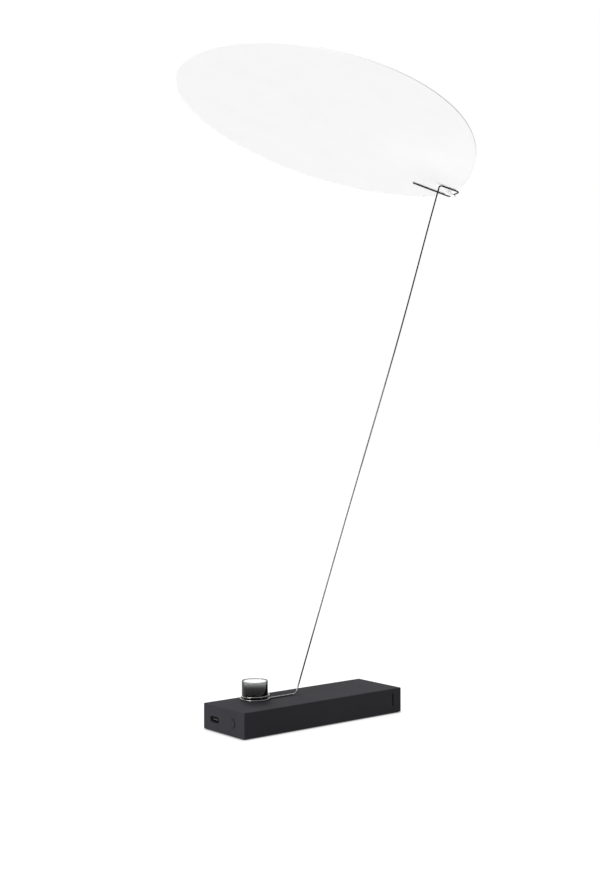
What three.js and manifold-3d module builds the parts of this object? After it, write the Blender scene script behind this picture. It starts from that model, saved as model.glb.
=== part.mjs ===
// Table lamp: a spot lens in a flat battery base lights a round white sheet, held above it by a steel wire.
// Millimetres and degrees, +Z up. The origin is the middle of the base's footprint, on the table.
// +X runs along the base away from the port and the button, and -Y is its long front.
import * as THREE from 'three';
import { mergeVertices } from 'three/addons/utils/BufferGeometryUtils.js';
import Module from 'manifold-3d';

const wasm = await Module();
wasm.setup();

// Clearances
const fit = 0.3;
const seat = 0.05;
const overrun = 2;

// Base tube and its end caps
const baseLength = 168.1;
const baseWidth = 54.3;
const baseHeight = 21.1;
const wall = 1.8;
const outerEdge = 0.8;
const innerEdge = 0.5;
const footHeight = 0.5;
const footEndInset = 12;
const footSideInset = 5;
const footCorner = 4;
const portCapLength = 3;
const farCapLength = 9.9;
const farCapEndWall = 2;
const capSeam = 0.1;
const capChamfer = 0.3;
const spigotLength = 5;
const spigotWall = 1.2;
const prySlotWidth = 1.8;
const prySlotBottom = 6.2;
const prySlotTop = 17.3;
const prySlotDepth = 2;

// Screws
const screwHoleClearance = 0.25;
const screwSlotWidth = 0.5;
const screwSlotDepth = 0.4;
const capScrew = { head: 3.8, headHeight: 0.9, shank: 1.6, length: 3.4 };
const capScrewBelow = 0.05;
const capScrewFromWall = 5.35;
const capBossWidth = 5.6;
const capBossHeight = 2.9;
const boardScrew = { head: 3.8, headHeight: 1.2, shank: 1.6, length: 3.2 };
const ledScrew = { head: 3.4, headHeight: 1.1, shank: 1.6, length: 3.4 };

// Charging port and button, in the port end
const portFromBack = 14.8;
const portHeight = 9.7;
const portOpeningWidth = 12.2;
const portOpeningHeight = 5.1;
const portShellWidth = 8.94;
const portShellHeight = 3.26;
const portShellWall = 0.3;
const portShellLength = 9.5;
const portShellRecess = 0.4;
const portShellFloor = 1.2;
const portTongueWidth = 6.7;
const portTongueHeight = 0.7;
const portTongueRecess = 1.1;
const buttonDiameter = 6.5;
const buttonFromFront = 15.1;
const buttonHeight = 10.5;
const buttonProud = 0.8;
const buttonEdge = 0.4;
const buttonFlange = 1.2;
const buttonFlangeThickness = 1;
const buttonStemDiameter = 3.2;
const buttonStemLength = 0.9;
const buttonTravel = 0.5;

// Control board and what it carries
const boardThickness = 1.2;
const boardLength = 20.6;
const boardFromWall = 3.35;
const boardCornerRadius = 1.5;
const boardClearOfButton = 0.5;
const boardScrewFromEnd = 4;
const boardScrewFromSide = 3;
const switchLength = 4;
const switchWidth = 6.2;
const switchHeight = 5;
const switchPlungerDiameter = 3.4;
const switchPlungerLength = 2.4;
const switchPlungerOut = 1.3;
const switchPlungerClearance = 0.2;
const controllerChip = { length: 5, width: 5, height: 0.9, fromEnd: 10.5, fromMiddle: -3 };
const chargerChip = { length: 4, width: 4, height: 0.9, fromEnd: 10.5, fromMiddle: 4 };
const inductorBlock = { length: 6, width: 6, height: 3, fromEnd: 10.5, fromMiddle: 13 };
const capacitor = { diameter: 5, height: 5.4, fromEnd: 10, fromMiddle: -16 };
const chipEdge = 0.15;
const inductorEdge = 0.8;
const batterySocketLength = 4.6;
const batterySocketWidth = 8;
const batterySocketHeight = 4.6;
const batterySocketInset = 2.4;
const batteryPlugLength = 4.4;
const batteryPlugWidth = 7;
const batteryPlugHeight = 3.6;
const batteryPlugFromFront = 21;

// Chassis tray
const trayThickness = 1.2;
const trayBossDiameter = 4.8;
const trayLipThickness = 1.5;
const trayLipHeight = 5;
const trayLipInset = 2;
const trayLipFromWall = 1.55;

// Light engine
const lensFromEnd = 40.9;
const lensFromBack = 14.55;
const lensDiameter = 21.6;
const lensRise = 15.35;
const lensSpigotDiameter = 16;
const lensSpigotBottom = 8.8;
const lensRimChamfer = 0.35;
const lensPocketDiameter = 6.8;
const lensPocketDepth = 2.2;
const lensPocketTopDiameter = 2;
const holderDiameter = 19.2;
const holderLedgeHeight = 1.35;
const holderLedgeWidth = 1.9;
const ledBoardLength = 29;
const ledBoardWidth = 18.6;
const ledBoardThickness = 1.6;
const ledScrewFromAxis = 12.4;
const emitterSize = 3.5;
const emitterHeight = 0.8;
const emitterDomeDiameter = 2.6;
const emitterDomeHeight = 0.4;
const spreaderThickness = 3.1;

// Battery
const cellThickness = 6.7;
const cellEdge = 1.5;
const cellTerraceLength = 4;
const cellTerraceInset = 3;
const cellTerraceThickness = 0.8;
const cellFromCap = 3.3;
const protectionBoardThickness = 1;
const protectionBoardInset = 5;
const protectionFromLedBoard = 6.75;
const protectionBoardHeight = 9;
const foamInset = 3;

// Leads inside the base
const leadDiameter = 1.2;
const leadSides = 8;
const leadSteps = 14;
const batteryLeadSpacing = 3;
const batteryLeadSag = 2.5;
const batteryLeadHeight = 5.3;
const ledLeadSpacing = 3;
const ledLeadFromAxis = 11.6;
const ledLeadBeside = 7.9;
const ledLeadSpan = 6.2;
const ledLeadRise = 2.6;

// Wire: coil, run, rod and clip in one piece
const wireDiameter = 1.3;
const wireSides = 6;
const wireLift = 0.1;
const coilClearance = 0.35;
const coilStepsPerTurn = 24;
const leastCoilGap = 0.4;
const coilExit = -40;
const coilExitBend = 1.8;
const coilExitLength = 0.95;
const runLength = 28.24;
const rodLean = 20.9;
const rodLength = 474.75;
const rodBow = 2.1;
const rodBowSkewShare = 1.71;
const rodSteps = 16;
const footBend = 4.5;
const topBend = 2.2;
const clipBend = 1.8;
const bendSteps = 5;
const clipReach = 3.33;
const clipAngle = -15.94;
const clipSpan = 20.07;
const nearLegSkew = 26.8;
const farLegSkew = 23.8;
const clipCrossTurn = -1;
const nearLegLength = 19.22;
const farLegLength = 35.72;

// How far the coil's wire stands above the run, going back from the run by so many turns
const coilClimb = [
  { turns: 0, height: 0 },
  { turns: 0.47, height: 0 },
  { turns: 0.97, height: 2.7 },
  { turns: 1.22, height: 2.6 },
  { turns: 1.41, height: 1.95 },
];

// Sheet
const sheetDiameter = 272.5;
const sheetThickness = 0.8;
const sheetTilt = 18.33;
const sheetRoll = -1.26;
const sheetBowDrop = 5.6;
const sheetDroopDepth = 8.7;
const sheetDroopSpread = 49.6;
const sheetDroopAngle = -21.3;
const sheetRings = 12;
const sheetSegments = 72;
const gripFlatRadius = 30;
const gripBlendRadius = 70;
const gripInset = 14.6;
const gripShift = 8;
const tongueWidth = 4.5;
const tongueShift = 1;
const tongueSlit = 0.6;
const tongueRoot = 9.5;
const tongueBendStart = 7.5;
const tongueBendEnd = 2;
const tongueTip = 2;

// Where things are, from the sizes above
const halfLength = baseLength / 2;
const halfWidth = baseWidth / 2;
const portFace = -halfLength;
const portCapBack = portFace + portCapLength;
const farCapFront = halfLength - farCapLength;
const tubeLeft = portCapBack + capSeam;
const tubeRight = farCapFront - capSeam;
const floorTop = footHeight + wall;
const roofUnder = baseHeight - wall;
const innerHalfWidth = halfWidth - wall;
const lensX = portFace + lensFromEnd;
const lensY = halfWidth - lensFromBack;
const wireRadius = wireDiameter / 2;
const coilRadius = lensDiameter / 2 + coilClearance + wireRadius;
const wireHeight = baseHeight + wireLift + wireRadius;
const trayBottom = floorTop + fit;
const trayTop = trayBottom + trayThickness;
const trayLeft = portCapBack + spigotLength + fit;
const trayRight = farCapFront - spigotLength - fit;
const flangeLeft = portCapBack + fit;
const flangeRight = flangeLeft + buttonFlangeThickness;
const boardLeft = flangeRight + buttonTravel + boardClearOfButton;
const boardRight = boardLeft + boardLength;
const boardWidth = 2 * (innerHalfWidth - boardFromWall);
const boardTop = portHeight - portShellHeight / 2 - seat;
const boardBottom = boardTop - boardThickness;
const partsOnBoard = boardTop + seat;
const spreaderBottom = floorTop + seat;
const spreaderTop = spreaderBottom + spreaderThickness;
const ledBoardBottom = spreaderTop + seat;
const ledBoardTop = ledBoardBottom + ledBoardThickness;
const partsOnLedBoard = ledBoardTop + seat;
const protectionLeft = lensX + ledBoardLength / 2 + protectionFromLedBoard;
const protectionRight = protectionLeft + protectionBoardThickness;
const cellLeft = protectionRight + fit + cellTerraceLength;
const cellRight = trayRight - cellFromCap;
const trayLipOutside = innerHalfWidth - trayLipFromWall;
const trayLipInside = trayLipOutside - trayLipThickness;
const cellWidth = 2 * (trayLipInside - fit);
const cellTerraceWidth = cellWidth - 2 * cellTerraceInset;
const protectionBoardWidth = cellWidth - 2 * protectionBoardInset;
const lowerCellBottom = trayTop + seat;
const upperCellBottom = lowerCellBottom + cellThickness + seat;
const foamBottom = upperCellBottom + cellThickness + seat;
const buttonY = -halfWidth + buttonFromFront;
const portY = halfWidth - portFromBack;
const capScrewX = [portCapBack + spigotLength / 2, farCapFront - spigotLength / 2];
const capScrewY = [capScrewFromWall - innerHalfWidth, innerHalfWidth - capScrewFromWall];
const boardScrewY = [-boardWidth / 2 + boardScrewFromSide, boardWidth / 2 - boardScrewFromSide];
const boardScrewX = boardRight - boardScrewFromEnd;
const ledScrewX = [lensX - ledScrewFromAxis, lensX + ledScrewFromAxis];
const radians = THREE.MathUtils.degToRad;

// A closed geometry as a solid for cutting and joining
function toSolid(geometry) {
  const plain = geometry.clone();
  plain.deleteAttribute('normal');
  plain.deleteAttribute('uv');
  const merged = mergeVertices(plain);
  return new wasm.Manifold(new wasm.Mesh({
    numProp: 3,
    vertProperties: new Float32Array(merged.attributes.position.array),
    triVerts: new Uint32Array(merged.index.array),
  }));
}

function toGeometry(solid) {
  const mesh = solid.getMesh();
  const geometry = new THREE.BufferGeometry();
  const places = new Float32Array(mesh.vertProperties);
  geometry.setAttribute('position', new THREE.BufferAttribute(places, mesh.numProp));
  geometry.setIndex(new THREE.BufferAttribute(new Uint32Array(mesh.triVerts), 1));
  geometry.computeVertexNormals();
  return geometry;
}

function join(...geometries) {
  return toGeometry(geometries.map(toSolid).reduce((whole, piece) => whole.add(piece)));
}

function cut(body, ...cutters) {
  return toGeometry(cutters.map(toSolid).reduce((rest, cutter) => rest.subtract(cutter), toSolid(body)));
}

// Basic forms, given by where their faces lie
function block(x0, x1, y0, y1, z0, z1) {
  const geometry = new THREE.BoxGeometry(x1 - x0, y1 - y0, z1 - z0);
  return geometry.translate((x0 + x1) / 2, (y0 + y1) / 2, (z0 + z1) / 2);
}

function roundedOutline(x0, x1, y0, y1, radius) {
  const outline = new THREE.Shape();
  outline.moveTo(x0 + radius, y0);
  outline.lineTo(x1 - radius, y0);
  outline.absarc(x1 - radius, y0 + radius, radius, -Math.PI / 2, 0);
  outline.lineTo(x1, y1 - radius);
  outline.absarc(x1 - radius, y1 - radius, radius, 0, Math.PI / 2);
  outline.lineTo(x0 + radius, y1);
  outline.absarc(x0 + radius, y1 - radius, radius, Math.PI / 2, Math.PI);
  outline.lineTo(x0, y0 + radius);
  outline.absarc(x0 + radius, y0 + radius, radius, Math.PI, 1.5 * Math.PI);
  return outline;
}

function stadiumOutline(centreX, centreY, width, height) {
  return roundedOutline(
    centreX - width / 2, centreX + width / 2, centreY - height / 2, centreY + height / 2, height / 2);
}

// An outline drawn in Y and Z, drawn out along X
const alongX = new THREE.Matrix4().makeBasis(
  new THREE.Vector3(0, 1, 0), new THREE.Vector3(0, 0, 1), new THREE.Vector3(1, 0, 0));

function drawnAlongX(outline, x0, x1, curveSegments = 5) {
  const geometry = new THREE.ExtrudeGeometry(outline, { depth: x1 - x0, bevelEnabled: false, curveSegments });
  return geometry.applyMatrix4(alongX).translate(x0, 0, 0);
}

function drawnUp(outline, z0, z1, curveSegments = 6) {
  const geometry = new THREE.ExtrudeGeometry(outline, { depth: z1 - z0, bevelEnabled: false, curveSegments });
  return geometry.translate(0, 0, z0);
}

function roundBar(x, y, z0, z1, diameter, sides = 24) {
  const geometry = new THREE.CylinderGeometry(diameter / 2, diameter / 2, z1 - z0, sides);
  return geometry.rotateX(Math.PI / 2).translate(x, y, (z0 + z1) / 2);
}

function roundBarAlongX(x0, x1, y, z, diameter, sides = 24) {
  const geometry = new THREE.CylinderGeometry(diameter / 2, diameter / 2, x1 - x0, sides);
  return geometry.rotateZ(Math.PI / 2).translate((x0 + x1) / 2, y, z);
}

// A profile of [radius, height] pairs turned about an upright axis
function turned(profile, x, y, segments = 32) {
  const points = profile.map(([radius, height]) => new THREE.Vector2(radius, height));
  return new THREE.LatheGeometry(points, segments).rotateX(Math.PI / 2).translate(x, y, 0);
}

// A path through given stations, one section at each of them
class StationCurve extends THREE.Curve {
  constructor(stations) {
    super();
    this.stations = stations;
  }

  getPointAt(share, target = new THREE.Vector3()) {
    const last = this.stations.length - 1;
    const place = THREE.MathUtils.clamp(share * last, 0, last);
    const before = Math.min(Math.floor(place), last - 1);
    return target.lerpVectors(this.stations[before], this.stations[before + 1], place - before);
  }

  getPoint(share, target) {
    return this.getPointAt(share, target);
  }

  getTangentAt(share, target = new THREE.Vector3()) {
    const last = this.stations.length - 1;
    const index = Math.round(share * last);
    const after = this.stations[Math.min(index + 1, last)];
    const here = this.stations[index];
    const before = this.stations[Math.max(index - 1, 0)];
    const leaving = after.clone().sub(here).normalize();
    const arriving = here.clone().sub(before).normalize();
    return target.addVectors(leaving, arriving).normalize();
  }
}

function tubeThrough(stations, diameter, sides) {
  const section = new THREE.Shape(Array.from({ length: sides }, (_, index) => {
    const angle = 2 * Math.PI * index / sides;
    return new THREE.Vector2(Math.cos(angle), Math.sin(angle)).multiplyScalar(diameter / 2);
  }));
  const extrudePath = new StationCurve(stations);
  return new THREE.ExtrudeGeometry(section, { steps: stations.length - 1, extrudePath, bevelEnabled: false });
}

// The stations of a bend that rounds the corner between two straight stretches
function bendAt(before, corner, after, radius) {
  const arriving = corner.clone().sub(before).normalize();
  const leaving = after.clone().sub(corner).normalize();
  const turn = arriving.angleTo(leaving);
  const start = corner.clone().addScaledVector(arriving, -radius * Math.tan(turn / 2));
  const axis = arriving.clone().cross(leaving).normalize();
  const towardCentre = axis.clone().cross(arriving);
  const centre = start.clone().addScaledVector(towardCentre, radius);
  return Array.from({ length: bendSteps + 1 }, (_, index) => {
    const arm = towardCentre.clone().negate().multiplyScalar(radius);
    return arm.applyAxisAngle(axis, turn * index / bendSteps).add(centre);
  });
}

// Screws point down from z, or up from z where they hold from below
function screw(x, y, z, sizes, pointsUp) {
  const sense = pointsUp ? -1 : 1;
  const headTop = z + sense * sizes.headHeight;
  const tip = z - sense * sizes.length;
  const profile = [
    [0, headTop],
    [sizes.head / 2, headTop],
    [sizes.head / 2, z],
    [sizes.shank / 2, z],
    [sizes.shank / 2, tip],
    [0, tip],
  ];
  const body = turned(pointsUp ? profile : profile.reverse(), x, y, 16);
  const slotFloor = headTop - sense * screwSlotDepth;
  const slotMouth = headTop + sense * overrun;
  return cut(body, block(
    x - sizes.head, x + sizes.head, y - screwSlotWidth / 2, y + screwSlotWidth / 2,
    Math.min(slotFloor, slotMouth), Math.max(slotFloor, slotMouth)));
}

function screwHole(x, y, z0, z1, sizes) {
  return roundBar(x, y, z0, z1, sizes.shank + 2 * screwHoleClearance, 16);
}

// Sections of the base, in Y and Z
function outerSection() {
  return roundedOutline(-halfWidth, halfWidth, footHeight, baseHeight, outerEdge);
}

function innerSection() {
  return roundedOutline(-innerHalfWidth, innerHalfWidth, floorTop, roofUnder, innerEdge);
}

function spigotSection(inset) {
  return roundedOutline(
    -innerHalfWidth + inset, innerHalfWidth - inset, floorTop + inset, roofUnder - inset, innerEdge);
}

function baseTube() {
  const tube = cut(
    drawnAlongX(outerSection(), tubeLeft, tubeRight),
    drawnAlongX(innerSection(), tubeLeft - overrun, tubeRight + overrun));
  const lensHole = roundBar(
    lensX, lensY, roofUnder - overrun, baseHeight + overrun, lensSpigotDiameter + 2 * fit, 32);
  const headRoom = capScrewBelow + capScrew.headHeight + seat;
  const screwHoles = capScrewX.flatMap((x) => capScrewY.flatMap((y) => [
    screwHole(x, y, footHeight - overrun, floorTop + overrun, capScrew),
    roundBar(x, y, footHeight - overrun, footHeight + headRoom, capScrew.head + 2 * screwHoleClearance, 16),
  ]));
  return cut(tube, lensHole, ...screwHoles);
}

// Blocks low in a spigot that the cap screws bite into
function capBosses(x0, x1) {
  return capScrewY.map((y) => block(
    x0, x1, y - capBossWidth / 2, y + capBossWidth / 2, floorTop + fit, floorTop + fit + capBossHeight));
}

function capScrewHoles(x) {
  const holeTop = footHeight + capScrewBelow + capScrew.headHeight + capScrew.length + fit;
  return capScrewY.map((y) => screwHole(x, y, footHeight, holeTop, capScrew));
}

// A cap's outer block with its far edges broken
function chamferedEnd(innerFace, outerFace) {
  const outline = roundedOutline(
    -halfWidth + capChamfer, halfWidth - capChamfer, footHeight + capChamfer, baseHeight - capChamfer,
    outerEdge - capChamfer);
  const length = Math.abs(outerFace - innerFace);
  const bevelled = new THREE.ExtrudeGeometry(outline, {
    depth: 2 * length - 2 * capChamfer,
    bevelThickness: capChamfer,
    bevelSize: capChamfer,
    bevelSegments: 1,
    curveSegments: 5,
  }).applyMatrix4(alongX);
  const outward = Math.sign(outerFace - innerFace);
  bevelled.translate(innerFace - (length - capChamfer), 0, 0);
  const spare = block(
    Math.min(innerFace, innerFace - outward * (length + overrun)),
    Math.max(innerFace, innerFace - outward * (length + overrun)),
    -baseWidth, baseWidth, -baseHeight, 2 * baseHeight);
  return cut(bevelled, spare);
}

function portEndCap() {
  const spigotEnd = portCapBack + spigotLength;
  const hollow = drawnAlongX(spigotSection(fit + spigotWall), portCapBack, spigotEnd + overrun);
  const sleeve = cut(drawnAlongX(spigotSection(fit), portCapBack, spigotEnd), hollow);
  const body = join(chamferedEnd(portCapBack, portFace), sleeve, ...capBosses(portCapBack, spigotEnd));
  const port = stadiumOutline(portY, portHeight, portOpeningWidth, portOpeningHeight);
  return cut(
    body,
    drawnAlongX(port, portFace - overrun, portCapBack + overrun, 8),
    roundBarAlongX(
      portFace - overrun, portCapBack + overrun, buttonY, buttonHeight, buttonDiameter + 2 * fit, 32),
    ...capScrewHoles(capScrewX[0]));
}

function farEndCap() {
  const spigotEnd = farCapFront - spigotLength;
  const hollow = drawnAlongX(
    spigotSection(fit + spigotWall), spigotEnd - overrun, halfLength - farCapEndWall);
  const outer = join(
    chamferedEnd(farCapFront, halfLength),
    drawnAlongX(spigotSection(fit), spigotEnd, farCapFront));
  const body = join(cut(outer, hollow), ...capBosses(spigotEnd, farCapFront));
  const prySlot = block(
    farCapFront - overrun, farCapFront + prySlotWidth,
    -halfWidth - overrun, -halfWidth + prySlotDepth, prySlotBottom, prySlotTop);
  return cut(body, prySlot, ...capScrewHoles(capScrewX[1]));
}

function footPad() {
  const outline = roundedOutline(
    -halfLength + footEndInset, halfLength - footEndInset,
    -halfWidth + footSideInset, halfWidth - footSideInset, footCorner);
  return drawnUp(outline, 0, footHeight - seat);
}

function chassisTray() {
  const floor = block(trayLeft, trayRight, -innerHalfWidth + fit, innerHalfWidth - fit, trayBottom, trayTop);
  const bossHeight = boardBottom - seat;
  const bosses = boardScrewY.map((y) => roundBar(boardScrewX, y, trayBottom, bossHeight, trayBossDiameter));
  const lips = [-1, 1].map((side) => {
    const edges = [side * trayLipInside, side * trayLipOutside].sort((a, b) => a - b);
    return block(cellLeft, cellRight - trayLipInset, ...edges, trayBottom, trayTop + trayLipHeight);
  });
  const window = block(
    lensX - ledBoardLength / 2 - fit, lensX + ledBoardLength / 2 + fit,
    lensY - ledBoardWidth / 2 - fit, halfWidth, trayBottom - overrun, trayTop + overrun);
  const holes = boardScrewY.map((y) => screwHole(
    boardScrewX, y, trayBottom + fit, bossHeight + overrun, boardScrew));
  return cut(join(floor, ...bosses, ...lips), window, ...holes);
}

function controlBoard() {
  const outline = roundedOutline(boardLeft, boardRight, -boardWidth / 2, boardWidth / 2, boardCornerRadius);
  const holes = boardScrewY.map((y) => screwHole(
    boardScrewX, y, boardBottom - overrun, boardTop + overrun, boardScrew));
  return cut(drawnUp(outline, boardBottom, boardTop, 3), ...holes);
}

function portShell() {
  const front = portFace + portShellRecess;
  const outer = stadiumOutline(portY, portHeight, portShellWidth, portShellHeight);
  const inner = stadiumOutline(
    portY, portHeight, portShellWidth - 2 * portShellWall, portShellHeight - 2 * portShellWall);
  return cut(
    drawnAlongX(outer, front, front + portShellLength, 8),
    drawnAlongX(inner, front - overrun, front + portShellLength - portShellFloor, 8));
}

function portTongue() {
  const back = portFace + portShellRecess + portShellLength - portShellFloor - seat;
  return block(
    portFace + portTongueRecess, back, portY - portTongueWidth / 2, portY + portTongueWidth / 2,
    portHeight - portTongueHeight / 2, portHeight + portTongueHeight / 2);
}

// The button, its switch's plunger and the switch, one behind another
const stemRight = flangeRight + buttonStemLength;
const plungerLeft = stemRight + seat;
const plungerRight = plungerLeft + switchPlungerLength;
const switchLeft = plungerLeft + switchPlungerOut;

function powerButton() {
  const face = portFace - buttonProud;
  const radius = buttonDiameter / 2;
  const stem = buttonStemDiameter / 2;
  const profile = [
    [0, stemRight],
    [stem, stemRight],
    [stem, flangeRight],
    [radius + buttonFlange, flangeRight],
    [radius + buttonFlange, flangeLeft],
    [radius, flangeLeft],
    [radius, face + buttonEdge],
    [radius - buttonEdge, face],
    [0, face],
  ].map(([across, along]) => new THREE.Vector2(across, along));
  const turnedUp = new THREE.LatheGeometry(profile.reverse(), 32).rotateZ(-Math.PI / 2);
  return turnedUp.translate(0, buttonY, buttonHeight);
}

function switchPlunger() {
  return roundBarAlongX(plungerLeft, plungerRight, buttonY, buttonHeight, switchPlungerDiameter, 20);
}

function switchBody() {
  const body = block(
    switchLeft, switchLeft + switchLength, buttonY - switchWidth / 2, buttonY + switchWidth / 2,
    partsOnBoard, partsOnBoard + switchHeight);
  const bore = roundBarAlongX(
    switchLeft - overrun, plungerRight + buttonTravel + fit, buttonY, buttonHeight,
    switchPlungerDiameter + 2 * switchPlungerClearance, 20);
  return cut(body, bore);
}

// A chip or a coil block, with its top edge broken
function chip(sizes, edge) {
  const x = boardLeft + sizes.fromEnd;
  const y = sizes.fromMiddle;
  const outline = roundedOutline(
    x - sizes.length / 2 + edge, x + sizes.length / 2 - edge,
    y - sizes.width / 2 + edge, y + sizes.width / 2 - edge, edge);
  const geometry = new THREE.ExtrudeGeometry(outline, {
    depth: sizes.height - 2 * edge,
    bevelThickness: edge,
    bevelSize: edge,
    bevelSegments: 1,
    curveSegments: 2,
  });
  return geometry.translate(0, 0, partsOnBoard + edge);
}

function smoothingCapacitor() {
  const x = boardLeft + capacitor.fromEnd;
  const top = partsOnBoard + capacitor.height;
  return roundBar(x, capacitor.fromMiddle, partsOnBoard, top, capacitor.diameter, 20);
}

const socketRight = boardRight - batterySocketInset;
const socketLeft = socketRight - batterySocketLength;
const plugLeft = socketRight + seat;
const plugRight = plugLeft + batteryPlugLength;
const plugY = -halfWidth + batteryPlugFromFront;

function batterySocket() {
  return block(
    socketLeft, socketRight, plugY - batterySocketWidth / 2, plugY + batterySocketWidth / 2,
    partsOnBoard, partsOnBoard + batterySocketHeight);
}

function batteryPlug() {
  return block(
    plugLeft, plugRight, plugY - batteryPlugWidth / 2, plugY + batteryPlugWidth / 2,
    partsOnBoard + fit, partsOnBoard + fit + batteryPlugHeight);
}

function heatSpreader() {
  const body = block(
    lensX - ledBoardLength / 2, lensX + ledBoardLength / 2,
    lensY - ledBoardWidth / 2, lensY + ledBoardWidth / 2, spreaderBottom, spreaderTop);
  const holeBottom = partsOnLedBoard - ledScrew.length - fit;
  return cut(body, ...ledScrewX.map((x) => screwHole(x, lensY, holeBottom, spreaderTop + overrun, ledScrew)));
}

function ledBoard() {
  const body = block(
    lensX - ledBoardLength / 2, lensX + ledBoardLength / 2,
    lensY - ledBoardWidth / 2, lensY + ledBoardWidth / 2, ledBoardBottom, ledBoardTop);
  return cut(body, ...ledScrewX.map((x) => screwHole(
    x, lensY, ledBoardBottom - overrun, ledBoardTop + overrun, ledScrew)));
}

function ledEmitter() {
  const half = emitterSize / 2;
  const bodyTop = partsOnLedBoard + emitterHeight;
  const body = block(lensX - half, lensX + half, lensY - half, lensY + half, partsOnLedBoard, bodyTop);
  const domeRadius = emitterDomeDiameter / 2;
  const dome = turned([
    [0, bodyTop - emitterHeight / 2],
    [domeRadius, bodyTop - emitterHeight / 2],
    [domeRadius, bodyTop],
    [domeRadius * Math.cos(radians(45)), bodyTop + emitterDomeHeight * Math.sin(radians(45))],
    [0, bodyTop + emitterDomeHeight],
  ], lensX, lensY, 16);
  return join(body, dome);
}

function lensHolder() {
  const outside = holderDiameter / 2;
  const ledge = lensSpigotDiameter / 2 - holderLedgeWidth + fit;
  const bore = lensSpigotDiameter / 2 + fit;
  const top = roofUnder - fit;
  const profile = [
    [ledge, partsOnLedBoard],
    [outside, partsOnLedBoard],
    [outside, top],
    [bore, top],
    [bore, partsOnLedBoard + holderLedgeHeight],
    [ledge, partsOnLedBoard + holderLedgeHeight],
    [ledge, partsOnLedBoard],
  ];
  return turned(profile, lensX, lensY);
}

function lens() {
  const spigot = lensSpigotDiameter / 2;
  const radius = lensDiameter / 2;
  const top = baseHeight + lensRise;
  const shoulder = baseHeight + seat;
  const pocketTop = lensSpigotBottom + lensPocketDepth;
  const profile = [
    [0, pocketTop],
    [lensPocketTopDiameter / 2, pocketTop],
    [lensPocketDiameter / 2, lensSpigotBottom],
    [spigot, lensSpigotBottom],
    [spigot, shoulder],
    [radius, shoulder],
    [radius, top - lensRimChamfer],
    [radius - lensRimChamfer, top],
    [0, top],
  ];
  return turned(profile, lensX, lensY, 48);
}

function pouchCell(bottom) {
  const section = roundedOutline(-cellWidth / 2, cellWidth / 2, bottom, bottom + cellThickness, cellEdge);
  const middle = bottom + cellThickness / 2;
  const terrace = block(
    cellLeft - cellTerraceLength, cellLeft + cellEdge, -cellTerraceWidth / 2, cellTerraceWidth / 2,
    middle - cellTerraceThickness / 2, middle + cellTerraceThickness / 2);
  return join(drawnAlongX(section, cellLeft, cellRight, 3), terrace);
}

function foamPad() {
  return block(
    cellLeft + foamInset, cellRight - foamInset, -cellWidth / 2 + foamInset, cellWidth / 2 - foamInset,
    foamBottom, roofUnder - seat);
}

function protectionBoard() {
  return block(
    protectionLeft, protectionRight, -protectionBoardWidth / 2, protectionBoardWidth / 2,
    lowerCellBottom, lowerCellBottom + protectionBoardHeight);
}

// A lead through a few places, with its ends square to what they meet
function lead(places) {
  const route = new THREE.CatmullRomCurve3(places, false, 'centripetal');
  return tubeThrough(route.getSpacedPoints(leadSteps), leadDiameter, leadSides);
}

function batteryLead(side) {
  const y = plugY + side * batteryLeadSpacing / 2;
  const spread = side * batteryLeadSpacing / 2;
  const start = protectionLeft - seat;
  const end = plugRight + seat;
  const height = lowerCellBottom + batteryLeadHeight;
  const plugMiddle = partsOnBoard + fit + batteryPlugHeight / 2;
  const straight = leadDiameter;
  return lead([
    new THREE.Vector3(start, y + spread, height),
    new THREE.Vector3(start - straight, y + spread, height),
    new THREE.Vector3((start + end) / 2, y, height - batteryLeadSag),
    new THREE.Vector3(end + straight, y, plugMiddle),
    new THREE.Vector3(end, y, plugMiddle),
  ]);
}

function ledLead(index) {
  const x0 = lensX - ledLeadFromAxis;
  const x1 = x0 - ledLeadSpan;
  const y = lensY - ledLeadBeside + index * ledLeadSpacing;
  const top = partsOnLedBoard + ledLeadRise;
  return lead([
    new THREE.Vector3(x0, y, partsOnLedBoard),
    new THREE.Vector3(x0, y, partsOnLedBoard + leadDiameter),
    new THREE.Vector3((x0 + x1) / 2, y, top),
    new THREE.Vector3(x1, y, partsOnBoard + leadDiameter),
    new THREE.Vector3(x1, y, partsOnBoard),
  ]);
}

// The sheet's own frame: its first axis points down the slope, its third out of the sheet
const rodDirection = new THREE.Vector3(Math.sin(radians(rodLean)), 0, Math.cos(radians(rodLean)));
const sheetNormal = new THREE.Vector3(
  Math.sin(radians(sheetTilt)) * Math.cos(radians(sheetRoll)), Math.sin(radians(sheetRoll)),
  Math.cos(radians(sheetTilt)) * Math.cos(radians(sheetRoll)));
const sheetAlong = new THREE.Vector3(Math.cos(radians(sheetTilt)), 0, -Math.sin(radians(sheetTilt)));
const sheetAcross = sheetNormal.clone().cross(sheetAlong).normalize();
const sheetRadius = sheetDiameter / 2;
const clipRadius = sheetRadius + clipReach;
const clipOut = new THREE.Vector2(Math.cos(radians(clipAngle)), Math.sin(radians(clipAngle)));
const clipSide = new THREE.Vector2(-clipOut.y, clipOut.x);
const gripCentre = clipOut.clone()
  .multiplyScalar(clipRadius - gripInset)
  .addScaledVector(clipSide, gripShift);

// Height of the sheet's middle surface above its own plane, as it hangs: bowed, and drawn down near the clip
function hangingHeight(along, across) {
  const bow = -sheetBowDrop * (along / sheetRadius) ** 2;
  const droopAlong = sheetRadius * Math.cos(radians(sheetDroopAngle));
  const droopAcross = sheetRadius * Math.sin(radians(sheetDroopAngle));
  const distance = Math.hypot(along - droopAlong, across - droopAcross);
  return bow - sheetDroopDepth * Math.exp(-(distance ** 2) / (2 * sheetDroopSpread ** 2));
}

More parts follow.
